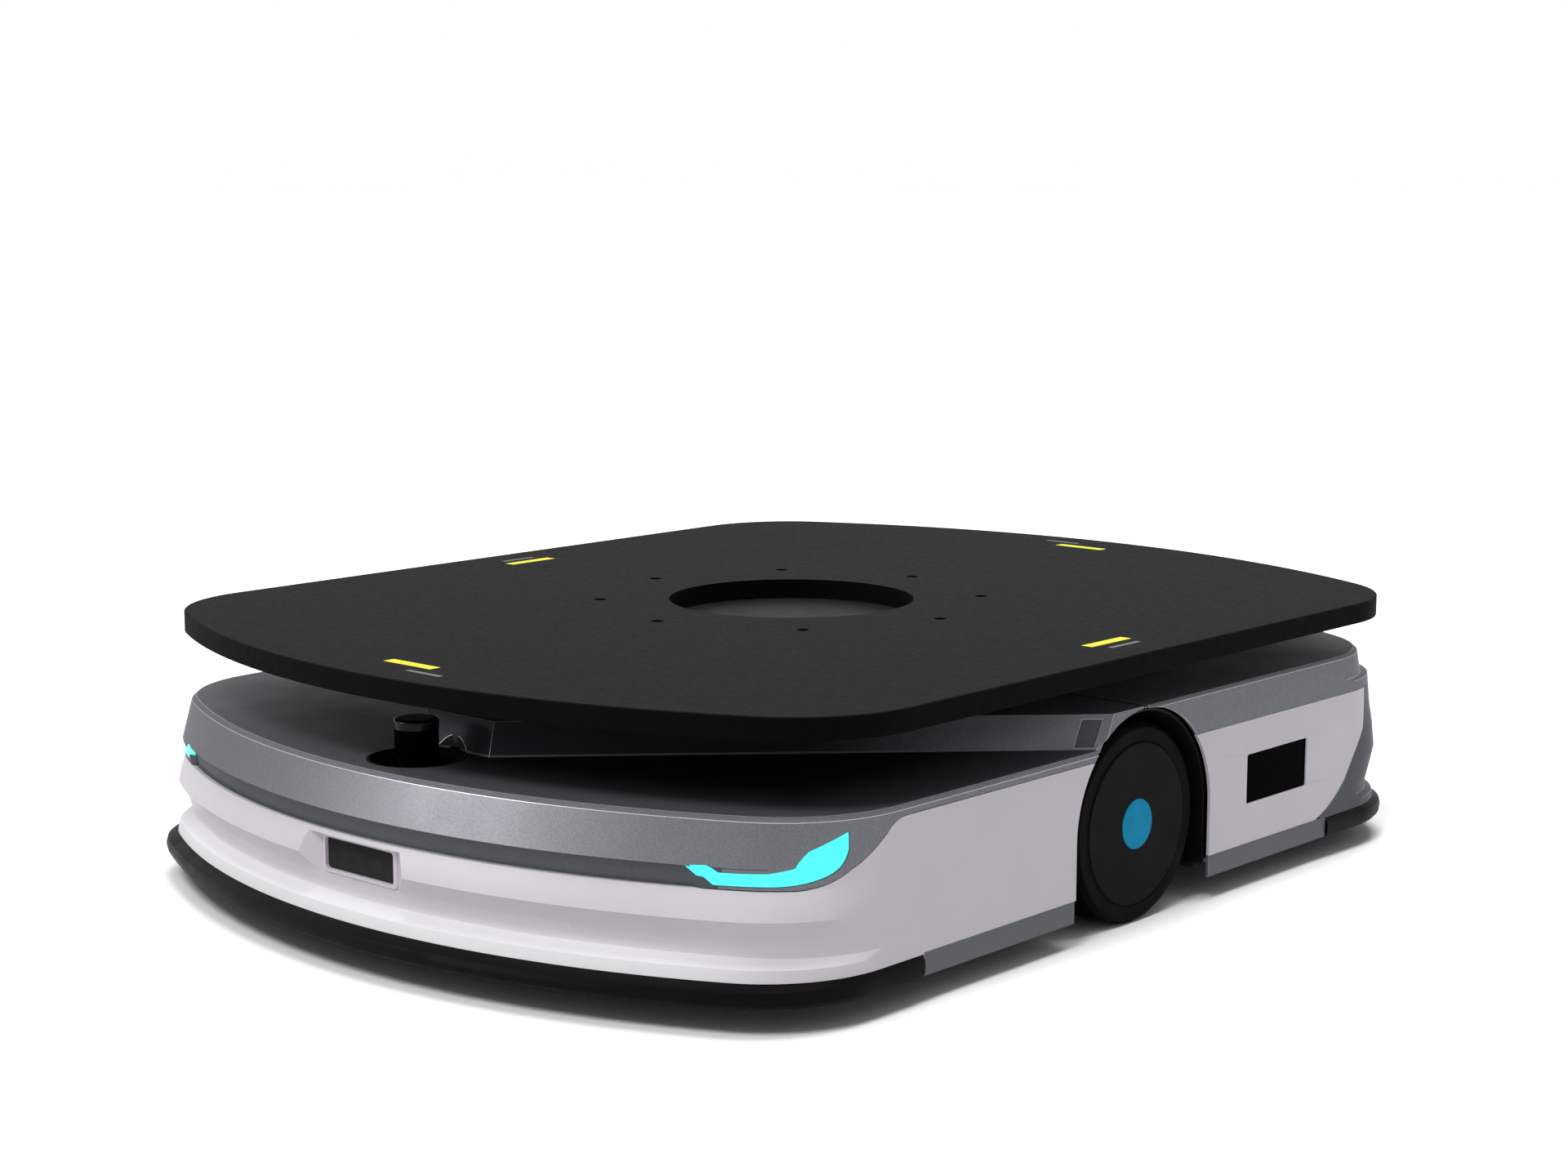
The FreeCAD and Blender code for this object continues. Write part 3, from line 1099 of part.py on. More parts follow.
def slew_ring_gear():
    """Inner race of the slewing ring, with teeth cut inside it. A space lies on +X, where the pinion is."""
    low = ROOF_TOP_Z + SEAT
    pitch_r = GEAR_MODULE * RING_TEETH / 2
    half_space = math.pi / (2 * RING_TEETH) + BACKLASH / (2 * pitch_r)
    root_r, tip_r = pitch_r + TOOTH_ROOT * GEAR_MODULE, pitch_r - GEAR_MODULE
    hole = Part.Face(gear_wire(RING_TEETH, root_r, tip_r, half_space, low - 1))
    hole = hole.extrude(Vector(0, 0, RACE_HEIGHT + 2))
    return rod(RACE_R - SEAT, (0, 0, low), (0, 0, RACE_TOP_Z)).cut(hole)


def turn_pinion():
    """Pinion inside the ring, on the turning motor's shaft."""
    low, high = ROOF_TOP_Z + PINION_FLOOR, RACE_TOP_Z - RACE_STEP
    pitch_r = GEAR_MODULE * PINION_TEETH / 2
    half_tooth = math.pi / (2 * PINION_TEETH) - BACKLASH / (2 * pitch_r)
    tip_r, root_r = pitch_r + PINION_TIP * GEAR_MODULE, pitch_r - TOOTH_ROOT * GEAR_MODULE
    gear = Part.Face(gear_wire(PINION_TEETH, tip_r, root_r, half_tooth, low))
    gear = gear.extrude(Vector(0, 0, high - low))
    shaft = rod(PINION_SHAFT_R, (0, 0, ROOF_BOTTOM_Z - PINION_SHAFT_DEPTH), (0, 0, low + SEAT))
    pinion = gear.fuse(shaft).removeSplitter()
    pinion.translate(Vector(PINION_X, 0, 0))
    return pinion


def turn_motor():
    """Motor that hangs under the roof and turns the pinion."""
    low, high = CARRIAGE_BOTTOM_Z - TURN_MOTOR_DROP, ROOF_BOTTOM_Z - SEAT
    body = rod(TURN_MOTOR_R, (PINION_X, 0, low), (PINION_X, 0, high))
    boss = rod(TURN_BOSS_R, (PINION_X, 0, low), (PINION_X, 0, ROOF_TOP_Z))
    bore_z = ROOF_BOTTOM_Z - PINION_SHAFT_DEPTH - SEAT
    bore = rod(PINION_SHAFT_R + RUNNING, (PINION_X, 0, bore_z), (PINION_X, 0, FAR))
    return body.fuse(boss).removeSplitter().cut(bore)


def slew_outer_ring():
    """Fixed race, bolted to the roof."""
    return ring(DRUM_R - RACE_OUTER_GAP, RACE_R, (0, 0, ROOF_TOP_Z), (0, 0, RACE_TOP_Z - RACE_STEP))


def circle_places(radius, count, first=0.0):
    """Evenly spaced centres on a circle, the first one a share of a step on from +X."""
    turns = [2 * math.pi * (number + first) / count for number in range(count)]
    return [(radius * math.cos(turn), radius * math.sin(turn)) for turn in turns]


def bored(shape, places, radius, top=FAR):
    """The piece with a round hole at each place, from below up to a height."""
    for x, y in places:
        shape = shape.cut(rod(radius, (x, y, 0), (x, y, top)))
    return shape


BOLT_PLACES = circle_places(DECK_BOLT_CIRCLE_R, DECK_BOLT_COUNT)
SCREW_PLACES = circle_places((FLANGE_R + NECK_R) / 2, DECK_BOLT_COUNT, 0.5)


def deck_flange():
    """Round flange that joins the geared race to the deck; its top closes the deck's bore."""
    plate = rod(FLANGE_R, (0, 0, DECK_BOTTOM_Z - FLANGE_PLATE), (0, 0, DECK_BOTTOM_Z))
    neck = ring(NECK_R, NECK_R - NECK_WALL, (0, 0, RACE_TOP_Z), (0, 0, DECK_BOTTOM_Z - SEAT))
    flange = bored(plate.fuse(neck).removeSplitter(), BOLT_PLACES, DECK_BOLT_HOLE_R)
    return bored(flange, SCREW_PLACES, DECK_SCREW_R + RUNNING)


def deck_screws():
    """Screws that hold the flange to the deck from below, between the deck's own holes."""
    under = DECK_BOTTOM_Z - FLANGE_PLATE
    group = []
    for x, y in SCREW_PLACES:
        shank = rod(DECK_SCREW_R, (x, y, under - SEAT), (x, y, DECK_BOTTOM_Z + DECK_SCREW_DEPTH))
        head = rod(DECK_SCREW_HEAD_R, (x, y, under - DECK_SCREW_HEAD), (x, y, under))
        group.append(shank.fuse(head).removeSplitter())
    return Part.makeCompound(group)


def deck_plate():
    """The load deck: a thick plate with bowed ends, a round bore, a ring of bolt holes and a shallow
    recess for each marker."""
    plate = slab(DECK_BOTTOM_Z, DECK_TOP_Z, DECK_LENGTH / 2, DECK_WIDTH / 2, DECK_BOW, DECK_CORNER_R)
    rim = [e for e in plate.Edges if e.BoundBox.ZMin > DECK_TOP_Z - 0.01]
    plate = plate.makeChamfer(DECK_EDGE_CHAMFER, rim)
    plate = plate.cut(rod(DECK_BORE_R, (0, 0, 0), (0, 0, FAR)))
    plate = bored(plate, BOLT_PLACES, DECK_BOLT_HOLE_R)
    plate = bored(plate, SCREW_PLACES, DECK_SCREW_R + RUNNING, DECK_BOTTOM_Z + DECK_SCREW_DEPTH + SEAT)
    return plate.cut(marker_bars(FAR))


def marker_bars(top):
    """A bar near the middle of each edge of the deck, from the recess's floor up."""
    half, low = MARKER_LENGTH / 2, DECK_TOP_Z - MARKER_THICKNESS
    end_x = DECK_LENGTH / 2 - MARKER_EDGE_GAP - MARKER_WIDTH
    side_y = DECK_WIDTH / 2 - MARKER_EDGE_GAP - MARKER_WIDTH
    group = []
    for end in (1, -1):
        group.append(box(end * end_x, end * (end_x + MARKER_WIDTH), -half, half, low, top))
        group.append(box(-half, half, end * side_y, end * (side_y + MARKER_WIDTH), low, top))
    return Part.makeCompound(group)


def deck_edge_markers():
    """Plain yellow bars laid into the deck."""
    return marker_bars(DECK_TOP_Z)


# ---------------------------------------------------------------- all nodes
NODES = {
    "front_lower_cover": front_lower_cover,
    "front_upper_cover": front_upper_cover,
    "flank_inserts": flank_inserts,
    "light_band": light_band,
    "light_lenses": light_lenses,
    "camera_window": camera_window,
    "camera_module": camera_module,
    "scanner_pocket": scanner_pocket,
    "scanner_body": scanner_body,
    "scanner_window": scanner_window,
    "rear_side_panels": rear_side_panels,
    "side_windows": side_windows,
    "sills": sills,
    "rear_lower_cover": rear_lower_cover,
    "rear_upper_cover": rear_upper_cover,
    "cover_joints": cover_joints,
    "front_bumper": bumper,
    "rear_bumper": lambda: turned_about(bumper()),
    "base_plate": base_plate,
    "caster_brackets": caster_brackets,
    "caster_head_plates": caster_head_plates,
    "cover_posts": cover_posts,
    "wheel_arch_liners": wheel_arch_liners,
    "battery_pack": battery_pack,
    "controller_box": controller_box,
    "motor_drives": motor_drives,
    "suspension_pivots": suspension_pivots,
    "lift_carriage": lift_carriage,
    "lift_drum": lift_drum,
    "lift_nuts": lift_nuts,
    "guide_posts": guide_posts,
    "lift_jacks": lift_jacks,
    "lift_screw_front": lambda: lift_screw(SCREW_X),
    "lift_screw_rear": lambda: lift_screw(-SCREW_X),
    "turn_motor": turn_motor,
    "turn_pinion": turn_pinion,
    "slew_outer_ring": slew_outer_ring,
    "slew_ring_gear": slew_ring_gear,
    "deck_flange": deck_flange,
    "deck_screws": deck_screws,
    "deck_plate": deck_plate,
    "deck_edge_markers": deck_edge_markers,
}
DRIVE_NODES = {
    "swing_arm": swing_arm, "gearmotor": gearmotor, "wheel_hub": wheel_hub, "tyre": tyre, "hub_cap": hub_cap,
}
CASTER_NODES = {"caster_fork": caster_fork, "caster_wheel": caster_wheel}

for name, build in NODES.items():
    save(name, build())

for name, build in DRIVE_NODES.items():
    left = build()
    save(f"left_{name}", left)
    save(f"right_{name}", mirrored(left))

for name, build in CASTER_NODES.items():
    for end_name, end in (("front", 1), ("rear", -1)):
        for side_name, side in (("left", 1), ("right", -1)):
            placed = build()
            placed.translate(Vector(end * CASTER_X, side * CASTER_Y, 0))
            save(f"{end_name}_{side_name}_{name}", placed)
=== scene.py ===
# %% [markdown]
# # A lifting mobile robot, dressed for the studio
# The robot is a low wheeled vehicle with a white and silver shell and a black load deck that rises and
# turns. Its engineering model already holds every rigid piece at its real size. This lesson gives each
# piece its finish, softens the edges, adds small fasteners, and sets the floor, the lights and the
# camera. It never moves or resizes an engineering part.

# %% Load the robot
import json
import math

import bmesh
import bpy
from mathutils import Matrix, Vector


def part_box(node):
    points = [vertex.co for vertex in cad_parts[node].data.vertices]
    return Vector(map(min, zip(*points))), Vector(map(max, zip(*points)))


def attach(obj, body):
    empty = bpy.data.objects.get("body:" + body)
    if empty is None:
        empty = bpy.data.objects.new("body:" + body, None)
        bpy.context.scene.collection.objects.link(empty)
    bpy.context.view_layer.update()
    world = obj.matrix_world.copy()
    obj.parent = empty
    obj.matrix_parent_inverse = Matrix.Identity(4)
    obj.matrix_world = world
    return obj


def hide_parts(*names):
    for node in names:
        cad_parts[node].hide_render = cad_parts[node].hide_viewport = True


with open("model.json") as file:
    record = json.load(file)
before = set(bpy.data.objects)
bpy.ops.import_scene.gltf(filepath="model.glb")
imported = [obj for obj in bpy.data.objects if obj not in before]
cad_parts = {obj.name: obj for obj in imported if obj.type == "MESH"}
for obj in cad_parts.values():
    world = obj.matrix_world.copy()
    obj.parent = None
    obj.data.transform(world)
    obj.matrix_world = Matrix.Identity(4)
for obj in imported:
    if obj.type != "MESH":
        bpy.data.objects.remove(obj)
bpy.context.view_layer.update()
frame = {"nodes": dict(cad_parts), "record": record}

# %% [markdown]
# ## Working in millimetres
# Blender works in metres, and makers think in millimetres. One value turns one into the other. A noise
# texture on Object coordinates repeats about once every 1 / scale metres, so a small function turns the
# width of a grain or a flake into the texture's scale. Typing scales by eye would be quicker, but then a
# pattern's size says nothing about the real surface.

# %% Units
MM = 0.001


def scale_for(size_mm):
    """Texture scale whose features are about size_mm across."""
    return 1.0 / (size_mm * MM)


print("grains of 2 mm need a texture scale of", round(scale_for(2.0)))

# %% [markdown]
# ## Where the camera stands
# The view is from the front left corner, a little above the deck, with a moderate lens. The robot is low
# and wide, so a distance of two and a half metres keeps its near corner from swelling. The camera could
# be turned by three typed angles. A direction that to_track_quat turns into a rotation is easier to read.

# %% Camera
CAMERA_PLACE = Vector((1.7985, 1.6065, 0.6146))     # in metres
CAMERA_HEADING = math.radians(41.93)                # from straight ahead of the robot towards its left
CAMERA_DOWN = math.radians(8.81)
LENS_MM, SENSOR_MM = 61.76, 36.0

camera_data = bpy.data.cameras.new("studio_camera")
camera_data.lens = LENS_MM
camera_data.sensor_width = SENSOR_MM
camera = bpy.data.objects.new("studio_camera", camera_data)
bpy.context.scene.collection.objects.link(camera)
looking = Vector((
    -math.cos(CAMERA_DOWN) * math.cos(CAMERA_HEADING),
    -math.cos(CAMERA_DOWN) * math.sin(CAMERA_HEADING),
    -math.sin(CAMERA_DOWN),
))
camera.location = CAMERA_PLACE
camera.rotation_euler = looking.to_track_quat("-Z", "Y").to_euler()
bpy.context.scene.camera = camera

# %% [markdown]
# ## Colours
# Colours are written as the hex values of a paint chart, which are sRGB. Shaders want linear light, where
# twice the number is twice the light. Typing linear values works too, but nobody can read them as a
# colour, so one function converts.

# %% Colours


def colour(hex_value):
    """Linear RGBA of an sRGB hex colour such as "#e4e3e6"."""
    channels = [int(hex_value[i:i + 2], 16) / 255 for i in (1, 3, 5)]
    linear = [c / 12.92 if c <= 0.04045 else ((c + 0.055) / 1.055) ** 2.4 for c in channels]
    return (*linear, 1.0)


print("the middle grey #808080 is", round(colour("#808080")[0], 3), "in linear light")

# %% [markdown]
# ## Nodes
# A material is a small network of nodes. Placed by hand it takes many clicks, and in a script three lines
# for each node. One function adds a node with its settings and its inputs at once: an input that is
# another node's socket is linked, and any other value is set. Inputs go by name, or by number on a node
# that has several of one name, as Math and Mix have. Every material starts from the piece's own
# coordinates and ends in one Principled shader, so two more functions do that.

# %% Nodes
MIX_MASK, MIX_UNDER, MIX_OVER, MIX_RESULT = 0, 6, 7, 2      # the sockets of a Mix node that mixes colours


def add(tree, kind, inputs=None, **settings):
    """Adds a node to a tree, sets its properties, and fills or links its inputs."""
    node = tree.nodes.new(kind)
    for name, value in settings.items():
        setattr(node, name, value)
    for name, value in (inputs or {}).items():
        if isinstance(value, bpy.types.NodeSocket):
            tree.links.new(value, node.inputs[name])
        else:
            node.inputs[name].default_value = value
    return node


def new_material(name):
    """An empty node material, with its tree and the piece's own coordinates."""
    material = bpy.data.materials.new(name)
    material.use_nodes = True
    tree = material.node_tree
    tree.nodes.clear()
    place = add(tree, "ShaderNodeTexCoord").outputs["Object"]
    return material, tree, place


def finish_material(tree, shader_inputs):
    """Ends a material in one Principled shader."""
    shader = add(tree, "ShaderNodeBsdfPrincipled", shader_inputs)
    add(tree, "ShaderNodeOutputMaterial", {"Surface": shader.outputs["BSDF"]})


print("materials so far:", len(bpy.data.materials), "all from the engineering model")

# %% [markdown]
# ## Tint
# No moulded or painted surface is one flat colour. A cloudy noise moves the tint by a few hundredths. An
# image could do the same, but a noise never ends or repeats.

# %% Tint
CLOUD_DETAIL = 3.0              # octaves of finer noise on top of the first
PURE_TINTS = (0.35, 0.65)       # noise values where the dark and the light tint are reached


def clouded(tree, place, hex_light, hex_dark, size_mm, detail=CLOUD_DETAIL):
    """Colour that drifts between two tints in patches of size_mm."""
    noise = add(tree, "ShaderNodeTexNoise", {"Vector": place, "Scale": scale_for(size_mm), "Detail": detail})
    ramp = add(tree, "ShaderNodeValToRGB", {"Fac": noise.outputs["Fac"]})
    for stop, position, tint in zip(ramp.color_ramp.elements, PURE_TINTS, (hex_dark, hex_light)):
        stop.position = position
        stop.color = colour(tint)
    return ramp.outputs["Color"]


print("tints drift with", CLOUD_DETAIL, "octaves")

# %% [markdown]
# ## Relief and roughness
# A fine noise makes the relief: orange peel in paint, spark texture in a mould, grain in rubber. Cutting
# it into the mesh would take millions of faces, so it is a bump, with its height in millimetres. Real
# grains are mostly finer than half a millimetre and wouldn't show from here, so they are drawn about a
# millimetre wide or more. Another noise lets the roughness drift, as where hands and cloths have been.

# %% Relief and roughness
GRAIN_DETAIL = 2.0
NOISE_SPAN = (0.3, 0.7)         # nearly all values of a noise lie between these


def relief(tree, place, size_mm, height_mm):
    """Surface normal of a noisy relief with grains of size_mm and the given height."""
    noise = add(tree, "ShaderNodeTexNoise", {
        "Vector": place, "Scale": scale_for(size_mm), "Detail": GRAIN_DETAIL,
    })
    bump = add(tree, "ShaderNodeBump", {
        "Strength": 1.0, "Distance": height_mm * MM, "Height": noise.outputs["Fac"],
    })
    return bump.outputs["Normal"]


def uneven(tree, place, size_mm, low, high):
    """Roughness that drifts between two values in patches of size_mm."""
    noise = add(tree, "ShaderNodeTexNoise", {
        "Vector": place, "Scale": scale_for(size_mm), "Detail": GRAIN_DETAIL,
    })
    spread = add(tree, "ShaderNodeMapRange", {
        "Value": noise.outputs["Fac"], "From Min": NOISE_SPAN[0], "From Max": NOISE_SPAN[1],
        "To Min": low, "To Max": high,
    })
    return spread.outputs["Result"]


print("grains and roughness drift with", GRAIN_DETAIL, "octaves")

# %% [markdown]
# ## White moulded covers
# The white covers are injection-moulded ABS with a fine spark texture, which gives the eye a broad, soft
# highlight. The lip that stands out along the front bumper faces up into the light, and that light is
# painted in as a brighter white, a painted highlight. It could be a second material on its own faces, but
# that would end in a hard line. A mask that fades in by height and by distance ahead mixes it in softly.

# %% White ABS
LIP_LOW, LIP_HIGH = 50.0 * MM, 62.0 * MM                # painted highlight in full below the first, none above the second
LIP_START_X, LIP_FULL_X = 400.0 * MM, 465.0 * MM        # none of it behind the first, in full ahead of the second


def moulded_white_abs():
    """White ABS, with a painted highlight: a brighter white on the lip along the front bumper."""
    material, tree, place = new_material("moulded_white_abs")
    x, _, z = add(tree, "ShaderNodeSeparateXYZ", {"Vector": place}).outputs
    low = add(tree, "ShaderNodeMapRange", {
        "Value": z, "From Min": LIP_HIGH, "From Max": LIP_LOW,
    }, interpolation_type="SMOOTHSTEP").outputs["Result"]
    ahead = add(tree, "ShaderNodeMapRange", {
        "Value": x, "From Min": LIP_START_X, "From Max": LIP_FULL_X,
    }, interpolation_type="SMOOTHSTEP").outputs["Result"]
    # mask of the painted highlight on the lip
    lip = add(tree, "ShaderNodeMath", {0: low, 1: ahead}, operation="MULTIPLY").outputs["Value"]
    moulded = clouded(tree, place, "#e6e1e8", "#e2dde4", 90)
    white = add(tree, "ShaderNodeMix", {
        MIX_MASK: lip, MIX_UNDER: moulded, MIX_OVER: colour("#fefdff"),
    }, data_type="RGBA").outputs[MIX_RESULT]
    finish_material(tree, {
        "Base Color": white,
        "Roughness": uneven(tree, place, 60, 0.36, 0.42),
        "Normal": relief(tree, place, 1.6, 0.010),
        "Specular IOR Level": 0.25,
    })
    return material


WHITE_ABS = moulded_white_abs()
print("white covers:", WHITE_ABS.name, "with", len(WHITE_ABS.node_tree.nodes), "nodes")

# %% [markdown]
# ## How far inside the rim
# The painted shade under the deck needs to know how far a point of a cover lies inward of the rim.
# Painting that by hand would be lost with the next change of the model. The rim is an arc round either
# nose and straight along the sides, so the smaller of the distances to the two is worked out from X and Y.

# %% Distance from the rim
RIM_CENTRE_X, RIM_RADIUS = -188.0 * MM, 686.0 * MM      # the front nose's arc, mirrored for the rear one
RIM_HALF_WIDTH = 387.0 * MM


def inward_of_rim(tree, x, y):
    """Distance inward from the covers' rim, the same at both noses and both sides."""
    forward = add(tree, "ShaderNodeMath", {0: x}, operation="ABSOLUTE").outputs["Value"]
    from_centre = add(tree, "ShaderNodeMath", {0: forward, 1: RIM_CENTRE_X}, operation="SUBTRACT")
    reach = add(tree, "ShaderNodeCombineXYZ", {"X": from_centre.outputs["Value"], "Y": y}).outputs["Vector"]
    round_rim = add(tree, "ShaderNodeVectorMath", {0: reach}, operation="LENGTH").outputs["Value"]
    from_nose = add(tree, "ShaderNodeMath", {0: RIM_RADIUS, 1: round_rim}, operation="SUBTRACT")
    sideways = add(tree, "ShaderNodeMath", {0: y}, operation="ABSOLUTE").outputs["Value"]
    from_side = add(tree, "ShaderNodeMath", {0: RIM_HALF_WIDTH, 1: sideways}, operation="SUBTRACT")
    return add(tree, "ShaderNodeMath", {
        0: from_nose.outputs["Value"], 1: from_side.outputs["Value"],
    }, operation="MINIMUM").outputs["Value"]


print("rim: arc of", round(RIM_RADIUS / MM), "mm, sides at", round(RIM_HALF_WIDTH / MM), "mm from the middle")

# %% [markdown]
# ## The dark gap under the deck
# Little light gets in between the deck and the covers, so the ledge there reads nearly black, and only
# its rim shines. A white studio fills that gap with more light than a workshop has. Fewer lamps would
# darken the whole robot, so that shade is painted into the paint's colour: a dark grey that fades in from
# the rim inward on the faces that look up, and towards the front on the sides of the raised middle.

# %% Painted shade under the deck
# painted shade: the dark grey that the paint fades to in the gap under the deck
GAP_SHADE = "#36373a"
RAISED_Z = 158.5 * MM                           # just above the low ledge
GAP_SHADE_X = (120.0 * MM, 240.0 * MM)             # along the raised middle: no painted shade, full painted shade
GAP_SHADE_INWARD = (25.0 * MM, 110.0 * MM)         # from the rim inward: no painted shade, full painted shade
FACING_UP = (0.80, 0.99)                        # height of a normal: none of the mask, all of it


def painted_gap_shade(tree, place, paint):
    """Paint with painted shade: it fades to a dark grey in the gap under the deck."""
    x, y, z = add(tree, "ShaderNodeSeparateXYZ", {"Vector": place}).outputs
    inward = inward_of_rim(tree, x, y)
    deep = add(tree, "ShaderNodeMapRange", {
        "Value": inward, "From Min": GAP_SHADE_INWARD[0], "From Max": GAP_SHADE_INWARD[1],
    }, interpolation_type="SMOOTHSTEP").outputs["Result"]
    facing = add(tree, "ShaderNodeNewGeometry").outputs["Normal"]
    upward = add(tree, "ShaderNodeSeparateXYZ", {"Vector": facing}).outputs["Z"]
    level = add(tree, "ShaderNodeMapRange", {
        "Value": upward, "From Min": FACING_UP[0], "From Max": FACING_UP[1],
    }).outputs["Result"]
    top = add(tree, "ShaderNodeMath", {0: level, 1: deep}, operation="MULTIPLY").outputs["Value"]
    raised = add(tree, "ShaderNodeMath", {0: z, 1: RAISED_Z}, operation="GREATER_THAN").outputs["Value"]
    along = add(tree, "ShaderNodeMapRange", {
        "Value": x, "From Min": GAP_SHADE_X[0], "From Max": GAP_SHADE_X[1],
    }, interpolation_type="SMOOTHSTEP").outputs["Result"]
    side = add(tree, "ShaderNodeMath", {0: raised, 1: along}, operation="MULTIPLY").outputs["Value"]
    gap_shade_mask = add(tree, "ShaderNodeMath", {0: top, 1: side}, operation="MAXIMUM").outputs["Value"]
    return add(tree, "ShaderNodeMix", {
        MIX_MASK: gap_shade_mask, MIX_UNDER: paint, MIX_OVER: colour(GAP_SHADE),
    }, data_type="RGBA").outputs[MIX_RESULT]


# how far inward of the rim the painted shade is full
print("primer shows fully", round(GAP_SHADE_INWARD[1] / MM), "mm inward of the rim")

# %% [markdown]
# ## Metallic paint
# The silver and grey covers, the sills, the band behind the front lights and the flank inserts are
# plastic under flake paint: aluminium flakes in a tinted lacquer, which make it sparkle a little and
# darken as it turns away from the light. Flakes are far finer than can show, so they are drawn 1.4 mm
# wide. A fully metallic shader would mirror the white room, so the paint is less than half metallic,
# and its sheen is low and greyed. The recess along the foot of the silver nose lies in shade, and that
# shade is painted in: a darker grey, masked by its place.

# %% Flake paint
# colour of the painted shade in the recess along the foot of the nose
RECESS_SHADE = "#4f5256"
SILVER_RECESS = (434.5 * MM, 121.4 * MM)        # painted shade ahead of the first along X and below the second
EDGE_RECESS = (100.0 * MM, 146.0 * MM)          # the same painted shade on the edges' painted highlight, up to the lights' top
FLAKE_MM, FLAKE_DETAIL = 1.4, 1.0


def metallic_paint(name, hex_light, hex_dark, metallic, rough, recess=None, with_gap_shade=False):
    """Flake paint: small light and dark patches over a partly metallic base. A recess is a pair
    (start along X, top) for painted shade there. The paint can also take painted shade under the deck."""
    material, tree, place = new_material(name)
    flakes = clouded(tree, place, hex_light, hex_dark, FLAKE_MM, FLAKE_DETAIL)
    # painted shade in the recess
    if recess:
        x, _, z = add(tree, "ShaderNodeSeparateXYZ", {"Vector": place}).outputs
        ahead = add(tree, "ShaderNodeMath", {0: x, 1: recess[0]}, operation="GREATER_THAN").outputs["Value"]
        below = add(tree, "ShaderNodeMath", {0: z, 1: recess[1]}, operation="LESS_THAN").outputs["Value"]
        dark = add(tree, "ShaderNodeMath", {0: ahead, 1: below}, operation="MULTIPLY").outputs["Value"]
        flakes = add(tree, "ShaderNodeMix", {
            MIX_MASK: dark, MIX_UNDER: flakes, MIX_OVER: colour(RECESS_SHADE),
        }, data_type="RGBA").outputs[MIX_RESULT]
    # painted shade in the gap under the deck
    if with_gap_shade:
        flakes = painted_gap_shade(tree, place, flakes)
    finish_material(tree, {
        "Base Color": flakes,
        "Metallic": metallic,
        "Roughness": uneven(tree, place, 50, rough - 0.03, rough + 0.03),
        "Normal": relief(tree, place, 2.2, 0.008),
        "Specular IOR Level": 0.12,
        "Specular Tint": colour("#8c8d90"),
    })
    return material


print("flakes are drawn", FLAKE_MM, "mm wide")

# %% [markdown]
# ## The shells' finishes
# The silver covers have the palest paint. The sills, the light band with the flank inserts, and the rear
# lower cover are darker greys of the same kind, so that the body reads as one shell in layers. One list
# holds them all, each under the name of its slot in the model's record.

# %% Shell materials
SHELL = {
    "white_cover": WHITE_ABS,
    "silver_cover": metallic_paint(
        "silver_flake_paint", "#7b7c81", "#707176", 0.45, 0.40, SILVER_RECESS, with_gap_shade=True),
    "grey_cover": metallic_paint("grey_flake_paint", "#595b60", "#53555a", 0.35, 0.42),
    "sill_paint": metallic_paint("sill_grey_paint", "#707277", "#6a6c71", 0.3, 0.45),
    "dark_trim": metallic_paint("dark_trim_paint", "#585a5e", "#525458", 0.4, 0.45),
}
print("shell materials:", [m.name for m in SHELL.values()])

# %% [markdown]
# ## Blacks
# Several blacks sit side by side on this robot, and each has its own sheen: dull polypropylene in the
# wheel arches and between the covers, a grained rubber bumper, the smoother cast polyurethane of the
# tyres, satin enamel on the hubs, anodised aluminium on the lift and the swing arms, and glossy ABS on
# the scanner. One black for all would melt them into a single shape. Roughness and relief tell them
# apart far more than colour does. In a white room every black mirrors white, so a low specular level
# keeps the matt ones deep.

# %% Black finishes


def black_finish(name, hex_light, hex_dark, rough, specular, grain_mm, height_mm):
    """A black with its own sheen: rough is a (low, high) pair, specular how much it mirrors."""
    material, tree, place = new_material(name)
    finish_material(tree, {
        "Base Color": clouded(tree, place, hex_light, hex_dark, 40),
        "Roughness": uneven(tree, place, 30, *rough),
        "Normal": relief(tree, place, grain_mm, height_mm),
        "Specular IOR Level": specular,
    })
    return material


BLACKS = {
    "black_trim": black_finish(
        "black_polypropylene", "#0c0c0d", "#080809", (0.50, 0.62), 0.10, 1.2, 0.02),
    "bumper_rubber": black_finish(
        "grained_rubber", "#0a0a0b", "#070708", (0.42, 0.52), 0.05, 1.4, 0.03),
    "tyre_black": black_finish(
        "cast_polyurethane", "#060607", "#040405", (0.50, 0.60), 0.03, 6.0, 0.02),
    "caster_tread": black_finish(
        "caster_polyurethane", "#323335", "#2b2c2e", (0.40, 0.50), 0.30, 5.0, 0.03),
    "hub_black": black_finish(
        "satin_black_enamel", "#0e0e0f", "#0b0b0c", (0.42, 0.50), 0.03, 2.5, 0.01),
    "carriage_black": black_finish(
        "black_anodised_aluminium", "#1c1c1d", "#171718", (0.46, 0.56), 0.08, 2.0, 0.004),
}
GLOSSY_BLACK = black_finish("glossy_black_abs", "#050506", "#030304", (0.16, 0.22), 0.12, 3.0, 0.004)
print("black materials:", [m.name for m in BLACKS.values()], GLOSSY_BLACK.name)

# %% [markdown]
# ## Windows and lights
# The sensors look out through smoked polycarbonate with an anti-reflection coat. Glass that light really
# goes through would show the empty room behind it, so the windows are opaque, polished and nearly
# black, with hardly any mirror image and a faint waviness from the mould. The camera's window is a
# lighter grey. The corner lights are frosted guides lit from behind: the diffuser evens the lamps out to
# a flat cyan glow, so emission does the work, and a faint cloud keeps it from looking printed.

# %% Windows and lights


